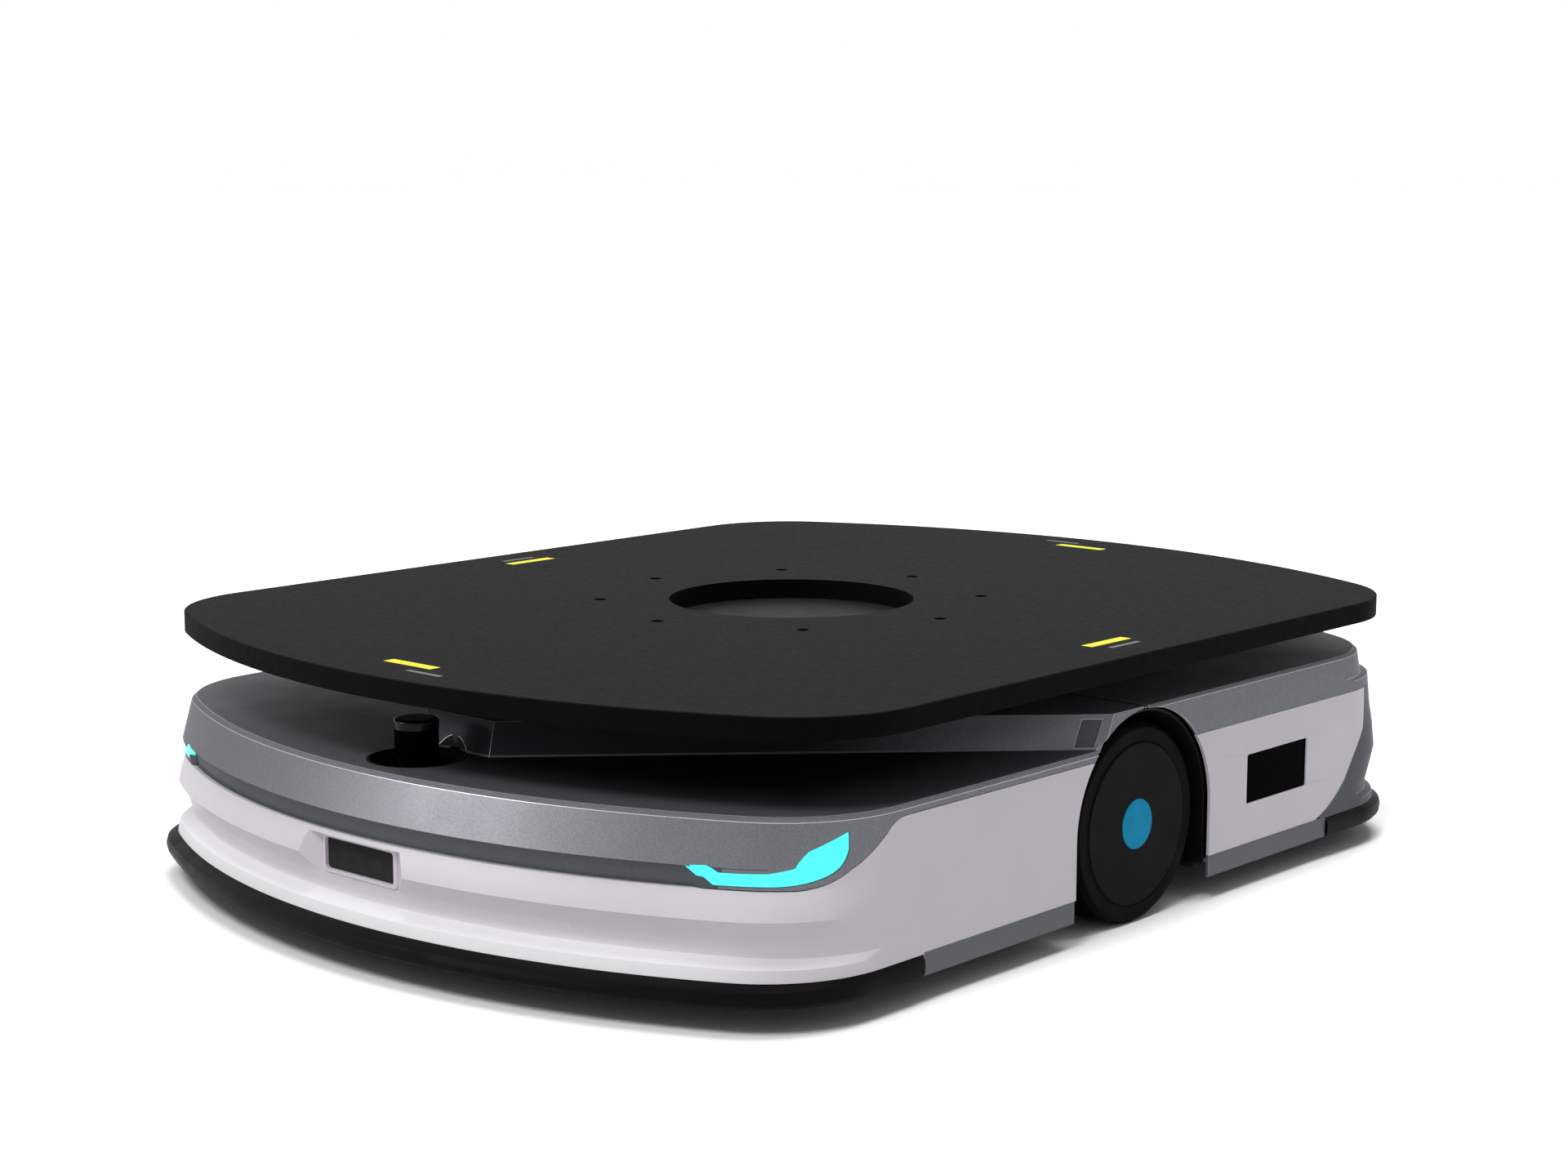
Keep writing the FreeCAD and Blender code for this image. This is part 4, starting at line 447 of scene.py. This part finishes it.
def smoked_window(name, hex_light, hex_dark):
    """Coated smoked polycarbonate: dark, polished, faintly wavy."""
    material, tree, place = new_material(name)
    finish_material(tree, {
        "Base Color": clouded(tree, place, hex_light, hex_dark, 12),
        "Roughness": 0.14,
        "Normal": relief(tree, place, 18, 0.008),
        "Specular IOR Level": 0.004,
    })
    return material


def lit_lens():
    """Frosted light guide, lit from behind."""
    material, tree, place = new_material("frosted_cyan_light_guide")
    glow = clouded(tree, place, "#5cffff", "#54f8fb", 9)
    finish_material(tree, {
        "Base Color": colour("#1d8f94"), "Roughness": 0.35,
        "Emission Color": glow, "Emission Strength": 0.92,
        "Normal": relief(tree, place, 1.0, 0.01), "Specular IOR Level": 0.2,
    })
    return material


WINDOWS = {
    "dark_window": smoked_window("coated_smoked_polycarbonate", "#020203", "#010102"),
    "corner_light": lit_lens(),
}
CAMERA_GLASS = smoked_window("grey_smoked_polycarbonate", "#3a3a3b", "#353536")
print("windows and lights:", [m.name for m in WINDOWS.values()], CAMERA_GLASS.name)

# %% [markdown]
# ## The deck's coating
# The load deck is a thick plate with a fine-textured black powder coat. Powder melts into a dense orange
# peel about a millimetre across, which leaves a dull black with hardly any sheen. The edge faces sideways,
# and its shade is painted in: it is tinted blacker than the top. Painting the edge's faces one by one would
# break as soon as the plate changes, so the tint follows which way the surface faces. Beside each yellow
# marker lies a short grey strip of the same length, drawn in the material from its place on the deck.

# %% Grey strips
STRIP_HALF = (20.0 * MM, 2.5 * MM)      # half the length and half the width of a grey strip
STRIP_PLACES = [(0.0, 0.3655), (0.0, -0.3655), (0.4665, 0.037), (-0.4665, -0.037)]     # in metres


def near(tree, axis_value, middle, half):
    """1 where a coordinate lies within half of the middle, 0 elsewhere."""
    away = add(tree, "ShaderNodeMath", {0: axis_value, 1: middle}, operation="SUBTRACT").outputs["Value"]
    size = add(tree, "ShaderNodeMath", {0: away}, operation="ABSOLUTE").outputs["Value"]
    return add(tree, "ShaderNodeMath", {0: size, 1: half}, operation="LESS_THAN").outputs["Value"]


def strips(tree, place):
    """Mask of the grey strips beside the markers."""
    x, y, _ = add(tree, "ShaderNodeSeparateXYZ", {"Vector": place}).outputs
    total = None
    for centre_x, centre_y in STRIP_PLACES:
        runs_along_x = abs(centre_x) < abs(centre_y)
        half_x, half_y = STRIP_HALF if runs_along_x else STRIP_HALF[::-1]
        both = add(tree, "ShaderNodeMath", {
            0: near(tree, x, centre_x, half_x), 1: near(tree, y, centre_y, half_y),
        }, operation="MULTIPLY").outputs["Value"]
        if total is None:
            total = both
        else:
            total = add(tree, "ShaderNodeMath", {0: total, 1: both}, operation="ADD").outputs["Value"]
    return total


print("grey strips:", len(STRIP_PLACES), "of", [round(2 * half / MM, 1) for half in STRIP_HALF], "mm")

# %% [markdown]
# ## Powder coats
# The chassis and the drives are coated too, but nobody polishes what lies under a cover: a plain black
# coat with a coarser peel and a little more sheen than the deck's is enough to tell steel from plastic.

# %% Powder coats
DECK_TOP_FACES = (0.3, 0.9)         # height of a normal: painted edge shade below the first, top tint above the second


def deck_coat():
    """Textured powder coat: dull black on top, painted shade on the edge, with the grey strips on it."""
    material, tree, place = new_material("textured_black_powder_coat")
    top = clouded(tree, place, "#1d1d1e", "#191919", 2.0)
    marked = add(tree, "ShaderNodeMix", {
        MIX_MASK: strips(tree, place), MIX_UNDER: top, MIX_OVER: colour("#7d7e80"),
    }, data_type="RGBA").outputs[MIX_RESULT]
    facing = add(tree, "ShaderNodeNewGeometry").outputs["Normal"]
    upward = add(tree, "ShaderNodeSeparateXYZ", {"Vector": facing}).outputs["Z"]
    is_top = add(tree, "ShaderNodeMapRange", {
        "Value": upward, "From Min": DECK_TOP_FACES[0], "From Max": DECK_TOP_FACES[1],
    }).outputs["Result"]
    # painted shade: the edge's faces are tinted blacker than the top
    tint = add(tree, "ShaderNodeMix", {
        MIX_MASK: is_top, MIX_UNDER: colour("#070708"), MIX_OVER: marked,
    }, data_type="RGBA").outputs[MIX_RESULT]
    finish_material(tree, {
        "Base Color": tint,
        "Roughness": uneven(tree, place, 6, 0.66, 0.74),
        "Normal": relief(tree, place, 1.1, 0.02),
        "Specular IOR Level": 0.03,
    })
    return material


def powder_coat(name, hex_light, hex_dark):
    """Plain powder coat for steel that lies inside or underneath."""
    material, tree, place = new_material(name)
    finish_material(tree, {
        "Base Color": clouded(tree, place, hex_light, hex_dark, 3.0),
        "Roughness": uneven(tree, place, 40, 0.46, 0.58),
        "Normal": relief(tree, place, 1.2, 0.03),
        "Specular IOR Level": 0.15,
    })
    return material


COATS = {
    "deck_black": deck_coat(),
    "chassis_steel": powder_coat("black_powder_coat", "#232325", "#1c1c1e"),
    "drive_black": powder_coat("black_machine_enamel", "#1f1f21", "#19191b"),
}
print("coats:", [m.name for m in COATS.values()])

# %% [markdown]
# ## Bare metals
# Posts, lift screws and gears are ground steel, the lift's nuts are turned bronze, bolts and caster forks
# are zinc-plated, and the electronics sit in anodised cases. All are fully metallic and keep the shader's
# own refraction index. Ground and turned metal carries fine parallel marks. An anisotropic sheen could
# show them, but says nothing of their width, so the noise is stretched fifty or twenty times along the
# cut instead. Zinc plating is cloudier.

# %% Bare metals


def worked_metal(name, hex_light, hex_dark, stretch, rough, marks_mm):
    """Metal with tool marks: stretch is the pattern's scale along X, Y and Z."""
    material, tree, place = new_material(name)
    along = add(tree, "ShaderNodeMapping", {"Vector": place, "Scale": stretch}).outputs["Vector"]
    finish_material(tree, {
        "Base Color": clouded(tree, along, hex_light, hex_dark, marks_mm),
        "Metallic": 1.0,
        "Roughness": uneven(tree, along, marks_mm, rough - 0.05, rough + 0.05),
        "Normal": relief(tree, along, marks_mm, 0.004),
    })
    return material


METALS = {
    "ground_steel": worked_metal(
        "ground_steel", "#b4b6b9", "#9fa1a5", (1.0, 1.0, 0.02), 0.28, 1.0),
    "zinc_steel": worked_metal(
        "zinc_plated_steel", "#b9babd", "#a6a8ab", (1.0, 1.0, 1.0), 0.36, 6.0),
    "bronze": worked_metal(
        "turned_bronze", "#c89a5a", "#b5874a", (1.0, 1.0, 0.05), 0.30, 1.0),
    "case_aluminium": worked_metal(
        "anodised_case_aluminium", "#6a6d73", "#61646a", (1.0, 1.0, 1.0), 0.45, 3.0),
}
print("metals:", [m.name for m in METALS.values()])

# %% [markdown]
# ## Films, the cap and painted edge highlights
# The deck's markers are yellow plastic film and the wheels' caps are moulded in blue: clear colours with
# a soft satin face. A rounded edge catches light, and here that light is painted in: each cover gets a
# second, lighter finish for its rounded edges, a painted highlight. Where the silver cover runs round the
# dark recess of a light, the edge carries the recess's painted shade and stays dark as well.

# %% Films and painted edge highlights


def film(name, hex_light, hex_dark, specular=0.12):
    """Smooth coloured plastic with a satin face."""
    material, tree, place = new_material(name)
    finish_material(tree, {
        "Base Color": clouded(tree, place, hex_light, hex_dark, 14),
        "Roughness": uneven(tree, place, 8, 0.36, 0.48),
        "Normal": relief(tree, place, 0.8, 0.004),
        "Specular IOR Level": specular,
    })
    return material


FILMS = {
    "marker_yellow": film("yellow_marker_film", "#f4ee00", "#eae400"),
    "cap_blue": film("blue_moulded_cap", "#22a6d8", "#1f9dcf", specular=0.03),
}
# painted highlights: lighter finishes for the covers' rounded edges
EDGE_HIGHLIGHT = {
    "white_cover": film("white_edge_painted_highlight", "#fbfafc", "#f6f5f8"),
    "silver_cover": metallic_paint("silver_edge_painted_highlight", "#c9cacd", "#c1c2c5", 0.4, 0.30, EDGE_RECESS),
    "grey_cover": metallic_paint("grey_edge_painted_highlight", "#74767b", "#6e7075", 0.4, 0.32),
    "sill_paint": metallic_paint("sill_edge_painted_highlight", "#8a8c90", "#838589", 0.4, 0.35),
}
MATERIALS = {**SHELL, **BLACKS, **WINDOWS, **COATS, **METALS, **FILMS}
print(len(MATERIALS), "materials for the slots, and", len(EDGE_HIGHLIGHT), "edge finishes")

# %% [markdown]
# ## Giving every node its finish
# The model's record names one material slot for each node, such as white_cover or tyre_black. Materials
# could be handed out piece by piece, but a loop over the record's own list forgets none.

# %% Assign materials
SLOT_OF = {part["node"]: part["material_slot"] for part in frame["record"]["subparts"]}
BODY_OF = {
    node: body for body, nodes in frame["record"]["behaviour"]["bodies"].items() for node in nodes
}

for node, piece in frame["nodes"].items():
    piece.data.materials.clear()
    piece.data.materials.append(MATERIALS[SLOT_OF[node]])
print("finished", len(frame["nodes"]), "nodes")

# %% [markdown]
# ## Softening the edges
# An engineering model has knife edges, and nothing moulded, milled or cast has. A rounded edge catches a
# thin line of light, which is what makes a surface look real. Subdivision would round the flat faces as
# well, so a bevel is used, which changes the sharp edges only. Each visible piece is copied, and its
# loose triangles are merged, because a bevel needs faces that share their edges. The copy is shaded
# smooth up to a crease of 30 degrees and bevelled from 20 degrees on, and its bevel gets a lighter
# colour, a painted edge highlight, where there is one. The copy stands in for the original, which stays in
# place for collision.

# %% Rounded copies
SHADED_SHARP = math.radians(30)
BEVELLED_FROM = math.radians(20)
BEVEL_SEGMENTS = 2
MERGE_MM = 0.002


def merged_mesh(source):
    """A copy of a mesh with its triangles joined and its creases marked."""
    mesh = source.copy()
    work = bmesh.new()
    work.from_mesh(mesh)
    bmesh.ops.remove_doubles(work, verts=work.verts, dist=MERGE_MM * MM)
    for face in work.faces:
        face.smooth = True
    for edge in work.edges:
        edge.smooth = edge.calc_face_angle(0.0) < SHADED_SHARP
    work.to_mesh(mesh)
    work.free()
    return mesh


def rounded_copy(node, radius_mm):
    """A merged copy of a node with its sharp edges rounded, standing in for it."""
    mesh = merged_mesh(frame["nodes"][node].data)
    copy = bpy.data.objects.new(f"{node}_finished", mesh)
    bpy.context.scene.collection.objects.link(copy)
    if radius_mm:
        bevel = copy.modifiers.new("rounded_edges", "BEVEL")
        bevel.width = radius_mm * MM
        bevel.segments = BEVEL_SEGMENTS
        bevel.limit_method = "ANGLE"
        bevel.angle_limit = BEVELLED_FROM
        # the bevel's faces get the painted edge highlight
        if SLOT_OF[node] in EDGE_HIGHLIGHT:
            mesh.materials.append(EDGE_HIGHLIGHT[SLOT_OF[node]])
            bevel.material = 1          # the second material, which was added just now
    weighted = copy.modifiers.new("weighted_normals", "WEIGHTED_NORMAL")
    weighted.keep_sharp = True
    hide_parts(node)
    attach(copy, BODY_OF[node])
    return copy


print("edges are bevelled from", round(math.degrees(BEVELLED_FROM)), "degrees on")

# %% [markdown]
# ## Which edges, and how round
# Moulded covers have edges of about 0.7 mm, small mouldings of 0.3 mm. The bumpers, the scanner and the
# light band keep the model's own edges and are only merged and shaded smooth, which is what 0 stands for.
# The scanner and the camera's window share a slot with other pieces but have a finish of their own.

# %% Round every visible piece
EDGE_RADIUS_MM = {
    "front_lower_cover": 0.7, "front_upper_cover": 0.8, "rear_upper_cover": 0.8, "rear_lower_cover": 0.7,
    "rear_side_panels": 0.7, "sills": 0.5, "deck_plate": 0.7, "flank_inserts": 0.3, "cover_joints": 0.3,
    "front_bumper": 0.0, "rear_bumper": 0.0, "scanner_body": 0.0, "scanner_pocket": 0.4,
    "left_wheel_hub": 0.4, "right_wheel_hub": 0.4, "left_tyre": 0.8, "right_tyre": 0.8,
    "left_hub_cap": 0.3, "right_hub_cap": 0.3, "camera_window": 0.3, "side_windows": 0.3,
    "wheel_arch_liners": 0.3, "light_band": 0.0, "light_lenses": 0.2, "deck_flange": 0.4,
    "lift_carriage": 0.4, "lift_drum": 0.4, "base_plate": 0.6, "caster_brackets": 0.8,
}
SPECIAL_FINISH = {"scanner_body": GLOSSY_BLACK, "camera_window": CAMERA_GLASS}
for node, radius_mm in EDGE_RADIUS_MM.items():
    finished = rounded_copy(node, radius_mm)
    if node in SPECIAL_FINISH:
        finished.data.materials[0] = SPECIAL_FINISH[node]
print("rounded", len(EDGE_RADIUS_MM), "pieces")

# %% [markdown]
# ## Heads and washers
# Each caster hangs from a square steel plate with an M8 hexagon bolt and a washer in every corner. Seen
# from below, a bolt is a hexagon prism on a round disc. Both are cylinders with few or many corners, so
# one helper makes either inside a Geometry Nodes tree, hanging under a point.

# %% Disc
BOLT_SIZES = {
    "Head Across": 13.0 * MM, "Head Height": 5.3 * MM, "Washer Across": 16.0 * MM, "Washer Height": 1.6 * MM,
}


def disc(tree, corners, radius, height, drop):
    """A short prism under the point, its middle at drop below it."""
    body = add(tree, "GeometryNodeMeshCylinder", {"Vertices": corners, "Radius": radius, "Depth": height})
    place = add(tree, "ShaderNodeCombineXYZ", {"Z": drop}).outputs["Vector"]
    return add(tree, "GeometryNodeTransform", {
        "Geometry": body.outputs["Mesh"], "Translation": place,
    }).outputs["Geometry"]


print("bolt sizes:", {name: round(size / MM, 1) for name, size in BOLT_SIZES.items()}, "mm")

# %% [markdown]
# ## One bolt, made by nodes
# Sixteen equal bolts could be modelled once and copied by hand. Geometry Nodes do it by rule: one tree
# makes a bolt and puts it at every point of the mesh that it is given, turned by a random angle, as a
# fitter leaves them. Its sizes are named inputs, so the same tree makes other bolts. It ends in real
# faces, because instances are lost on export.

# %% Bolt tree
HEXAGON_RADIUS = 1 / math.sqrt(3)       # corner radius of a hexagon that is 1 across its flats
HEAD_CORNERS, WASHER_CORNERS = 6, 24
SIXTH_TURN = math.pi / 3                # a hexagon looks the same again after this
RANDOM_LOW, RANDOM_HIGH, RANDOM_VALUE = 2, 3, 1     # a Random Value node's sockets when it gives floats


def bolt_tree():
    """Geometry nodes that hang a washer and a hexagon head under every point."""
    tree = bpy.data.node_groups.new("bolt_at_each_point", "GeometryNodeTree")
    tree.interface.new_socket("Geometry", in_out="OUTPUT", socket_type="NodeSocketGeometry")
    tree.interface.new_socket("Geometry", in_out="INPUT", socket_type="NodeSocketGeometry")
    for name in BOLT_SIZES:
        tree.interface.new_socket(name, in_out="INPUT", socket_type="NodeSocketFloat")
    tree.interface.new_socket("Seed", in_out="INPUT", socket_type="NodeSocketInt")
    tree.interface.new_socket("Material", in_out="INPUT", socket_type="NodeSocketMaterial")
    given = add(tree, "NodeGroupInput").outputs
    head_height, washer_height = given["Head Height"], given["Washer Height"]
    head_radius = add(tree, "ShaderNodeMath", {
        0: given["Head Across"], 1: HEXAGON_RADIUS,
    }, operation="MULTIPLY").outputs["Value"]
    washer_radius = add(tree, "ShaderNodeMath", {
        0: given["Washer Across"], 1: 0.5,
    }, operation="MULTIPLY").outputs["Value"]
    washer_drop = add(tree, "ShaderNodeMath", {
        0: washer_height, 1: -0.5,
    }, operation="MULTIPLY").outputs["Value"]
    half_head = add(tree, "ShaderNodeMath", {0: head_height, 1: 0.5}, operation="MULTIPLY").outputs["Value"]
    under = add(tree, "ShaderNodeMath", {0: half_head, 1: washer_height}, operation="ADD").outputs["Value"]
    head_drop = add(tree, "ShaderNodeMath", {0: under, 1: -1.0}, operation="MULTIPLY").outputs["Value"]
    head = disc(tree, HEAD_CORNERS, head_radius, head_height, head_drop)
    washer = disc(tree, WASHER_CORNERS, washer_radius, washer_height, washer_drop)
    bolt = add(tree, "GeometryNodeJoinGeometry", {"Geometry": head})
    tree.links.new(washer, bolt.inputs["Geometry"])
    angle = add(tree, "FunctionNodeRandomValue", {
        RANDOM_LOW: 0.0, RANDOM_HIGH: SIXTH_TURN, "Seed": given["Seed"],
    }, data_type="FLOAT").outputs[RANDOM_VALUE]
    turn = add(tree, "ShaderNodeCombineXYZ", {"Z": angle}).outputs["Vector"]
    placed = add(tree, "GeometryNodeInstanceOnPoints", {
        "Points": given["Geometry"], "Instance": bolt.outputs["Geometry"], "Rotation": turn,
    }).outputs["Instances"]
    real = add(tree, "GeometryNodeRealizeInstances", {"Geometry": placed}).outputs["Geometry"]
    painted = add(tree, "GeometryNodeSetMaterial", {"Geometry": real, "Material": given["Material"]})
    add(tree, "NodeGroupOutput", {"Geometry": painted.outputs["Geometry"]})
    return tree


BOLT_TREE = bolt_tree()
print("bolt tree:", len(BOLT_TREE.nodes), "nodes")

# %% [markdown]
# ## Where the bolts go
# The bolts hang under the four caster plates, one in each corner. Typed points would stay behind if a
# plate moved, so they are worked out from the plates' own box.

# %% Points for the bolts
PLATE_SIDE, PLATE_THICKNESS, BOLT_INSET = 80.0 * MM, 4.0 * MM, 10.0 * MM

plates_low, plates_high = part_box("caster_head_plates")
outer = Vector(plates_high) - Vector((BOLT_INSET, BOLT_INSET, PLATE_THICKNESS))
inner = outer - Vector((PLATE_SIDE - 2 * BOLT_INSET, PLATE_SIDE - 2 * BOLT_INSET, 0))
bolt_points = [
    (x * ahead, y * left, outer.z)
    for x in (outer.x, inner.x) for y in (outer.y, inner.y) for ahead in (1, -1) for left in (1, -1)
]
print("bolt points:", len(bolt_points), "at", round(outer.z / MM, 1), "mm above the floor")

# %% [markdown]
# ## From nodes to a mesh
# The tree's inputs are set by their identifiers, because two of them may share a name. Its result is
# turned into a plain mesh, so that it exports like any other piece, and its edges are softened like the
# others. The bolts ride on the chassis, as the plates do.

# %% Bolts in place
BOLT_EDGE = 0.3 * MM
BOLT_SEED = 7

point_mesh = bpy.data.meshes.new("bolt_points")
point_mesh.from_pydata(bolt_points, [], [])
point_object = bpy.data.objects.new("bolt_points", point_mesh)
bpy.context.scene.collection.objects.link(point_object)
bolts_modifier = point_object.modifiers.new("bolts", "NODES")
bolts_modifier.node_group = BOLT_TREE
chosen = {**BOLT_SIZES, "Seed": BOLT_SEED, "Material": METALS["zinc_steel"]}
for item in BOLT_TREE.interface.items_tree:
    if item.in_out == "INPUT" and item.name in chosen:
        bolts_modifier[item.identifier] = chosen[item.name]
evaluated = point_object.evaluated_get(bpy.context.evaluated_depsgraph_get())
bolt_mesh = bpy.data.meshes.new_from_object(evaluated)
bpy.data.objects.remove(point_object)
caster_bolts = bpy.data.objects.new("caster_plate_bolts", bolt_mesh)
bpy.context.scene.collection.objects.link(caster_bolts)
soft_edges = caster_bolts.modifiers.new("rounded_edges", "BEVEL")
soft_edges.width, soft_edges.segments, soft_edges.limit_method = BOLT_EDGE, BEVEL_SEGMENTS, "ANGLE"
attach(caster_bolts, BODY_OF["caster_head_plates"])
print("bolts:", len(bolt_points), "made of", len(bolt_mesh.polygons), "faces")

# %% [markdown]
# ## What shows, and what only lights
# A backdrop has two jobs: it shows, and it throws light on the robot. A wall as white as it should show
# would light the robot too strongly. The Light Path node tells the rays that show it, to the camera, off
# a mirror or through glass, from those that only carry its light, so each job gets its own strength.

# %% Rays that show the backdrop


def show_white(tree):
    """1 for the rays that show the backdrop: to the camera, off a mirror or through glass."""
    path = add(tree, "ShaderNodeLightPath")
    some = add(tree, "ShaderNodeMath", {
        0: path.outputs["Is Camera Ray"], 1: path.outputs["Is Glossy Ray"],
    }, operation="MAXIMUM").outputs["Value"]
    return add(tree, "ShaderNodeMath", {
        0: some, 1: path.outputs["Is Transmission Ray"],
    }, operation="MAXIMUM").outputs["Value"]


print("the floor and the sky will share one switch between showing and lighting")

# %% [markdown]
# ## The floor
# The robot stands on a seamless white floor that runs on to the horizon. A floor as white as its
# backdrop throws so much light up that nothing under the robot stays dark. So this one has two whites:
# the one that shows, and a greyer one for the light that it throws back.

# %% Floor
FLOOR_SIZE = 120.0                                  # in metres, so that its end lies at the horizon
FLOOR_BOUNCE, FLOOR_SHOWN = 0.58, 1.25              # how much light it throws back, how white it shows

half = FLOOR_SIZE / 2
floor_corners = [(-half, -half, 0), (half, -half, 0), (half, half, 0), (-half, half, 0)]
floor_mesh = bpy.data.meshes.new("studio_floor")
floor_mesh.from_pydata(floor_corners, [], [(0, 1, 2, 3)])
floor = bpy.data.objects.new("studio_floor", floor_mesh)
bpy.context.scene.collection.objects.link(floor)
floor_material, floor_tree, _ = new_material("white_studio_floor")
shown = add(floor_tree, "ShaderNodeMapRange", {
    "Value": show_white(floor_tree), "To Min": FLOOR_BOUNCE, "To Max": FLOOR_SHOWN,
}).outputs["Result"]
paper = add(floor_tree, "ShaderNodeBsdfDiffuse", {"Color": shown})
add(floor_tree, "ShaderNodeOutputMaterial", {"Surface": paper.outputs["BSDF"]})
floor_mesh.materials.append(floor_material)
print("floor:", FLOOR_SIZE, "m wide")

# %% [markdown]
# ## The sky
# The sky is the weak light that fills the shadows, nearly even and a little stronger overhead. A brighter
# sky would wash out the dark gaps of the robot. The camera, mirrors and windows see plain white instead,
# which is the backdrop.

# %% Sky
SKY_HORIZON, SKY_ZENITH = 0.24, 0.30

world = bpy.data.worlds.new("white_room")
world.use_nodes = True
bpy.context.scene.world = world
sky_tree = world.node_tree
sky_tree.nodes.clear()
direction = add(sky_tree, "ShaderNodeTexCoord").outputs["Generated"]
height = add(sky_tree, "ShaderNodeSeparateXYZ", {"Vector": direction}).outputs["Z"]
sky_light = add(sky_tree, "ShaderNodeMapRange", {
    "Value": height, "From Min": 0.0, "From Max": 1.0, "To Min": SKY_HORIZON, "To Max": SKY_ZENITH,
}).outputs["Result"]
sky_strength = add(sky_tree, "ShaderNodeMapRange", {
    "Value": show_white(sky_tree), "To Min": sky_light, "To Max": 1.0,
}).outputs["Result"]
sky = add(sky_tree, "ShaderNodeBackground", {"Color": (1, 1, 1, 1), "Strength": sky_strength})
add(sky_tree, "ShaderNodeOutputWorld", {"Surface": sky.outputs["Background"]})
print("sky:", SKY_HORIZON, "at the horizon,", SKY_ZENITH, "overhead")

# %% [markdown]
# ## The lamps
# Area lamps would light a pool round the robot and leave the floor dark behind it. A sun lights near and
# far alike, and a wide one has soft shadows. The overhead sun stands almost upright, so the shadow stays
# under the robot. The key stands high ahead of the nose and brightens it more than the side. It's kept
# out of mirror images, where it would grey the blacks. The third shows in mirror images alone: it draws
# the highlight along the painted nose and lights nothing.

# %% Lamps


def soft_sun(name, heading_deg, elevation_deg, strength, width_deg, mirrored=True, lights=True):
    """A wide, even light from one direction: heading from straight ahead towards the robot's left,
    elevation above the floor. It can be left out of mirror images, or be seen in them alone."""
    data = bpy.data.lights.new(name, "SUN")
    data.energy, data.angle = strength, math.radians(width_deg)
    lamp = bpy.data.objects.new(name, data)
    lamp.visible_glossy, lamp.visible_diffuse = mirrored, lights
    heading, elevation = math.radians(heading_deg), math.radians(elevation_deg)
    shines_from = Vector((
        math.cos(elevation) * math.cos(heading), math.cos(elevation) * math.sin(heading), math.sin(elevation),
    ))
    lamp.rotation_euler = (-shines_from).to_track_quat("-Z", "Y").to_euler()
    bpy.context.scene.collection.objects.link(lamp)


soft_sun("key", 10, 57, 1.30, 20, mirrored=False)
soft_sun("overhead", 180, 84, 1.60, 34)
soft_sun("paint_highlight", -34, 24, 1.75, 26, lights=False)
bpy.context.scene.view_settings.view_transform = "Standard"
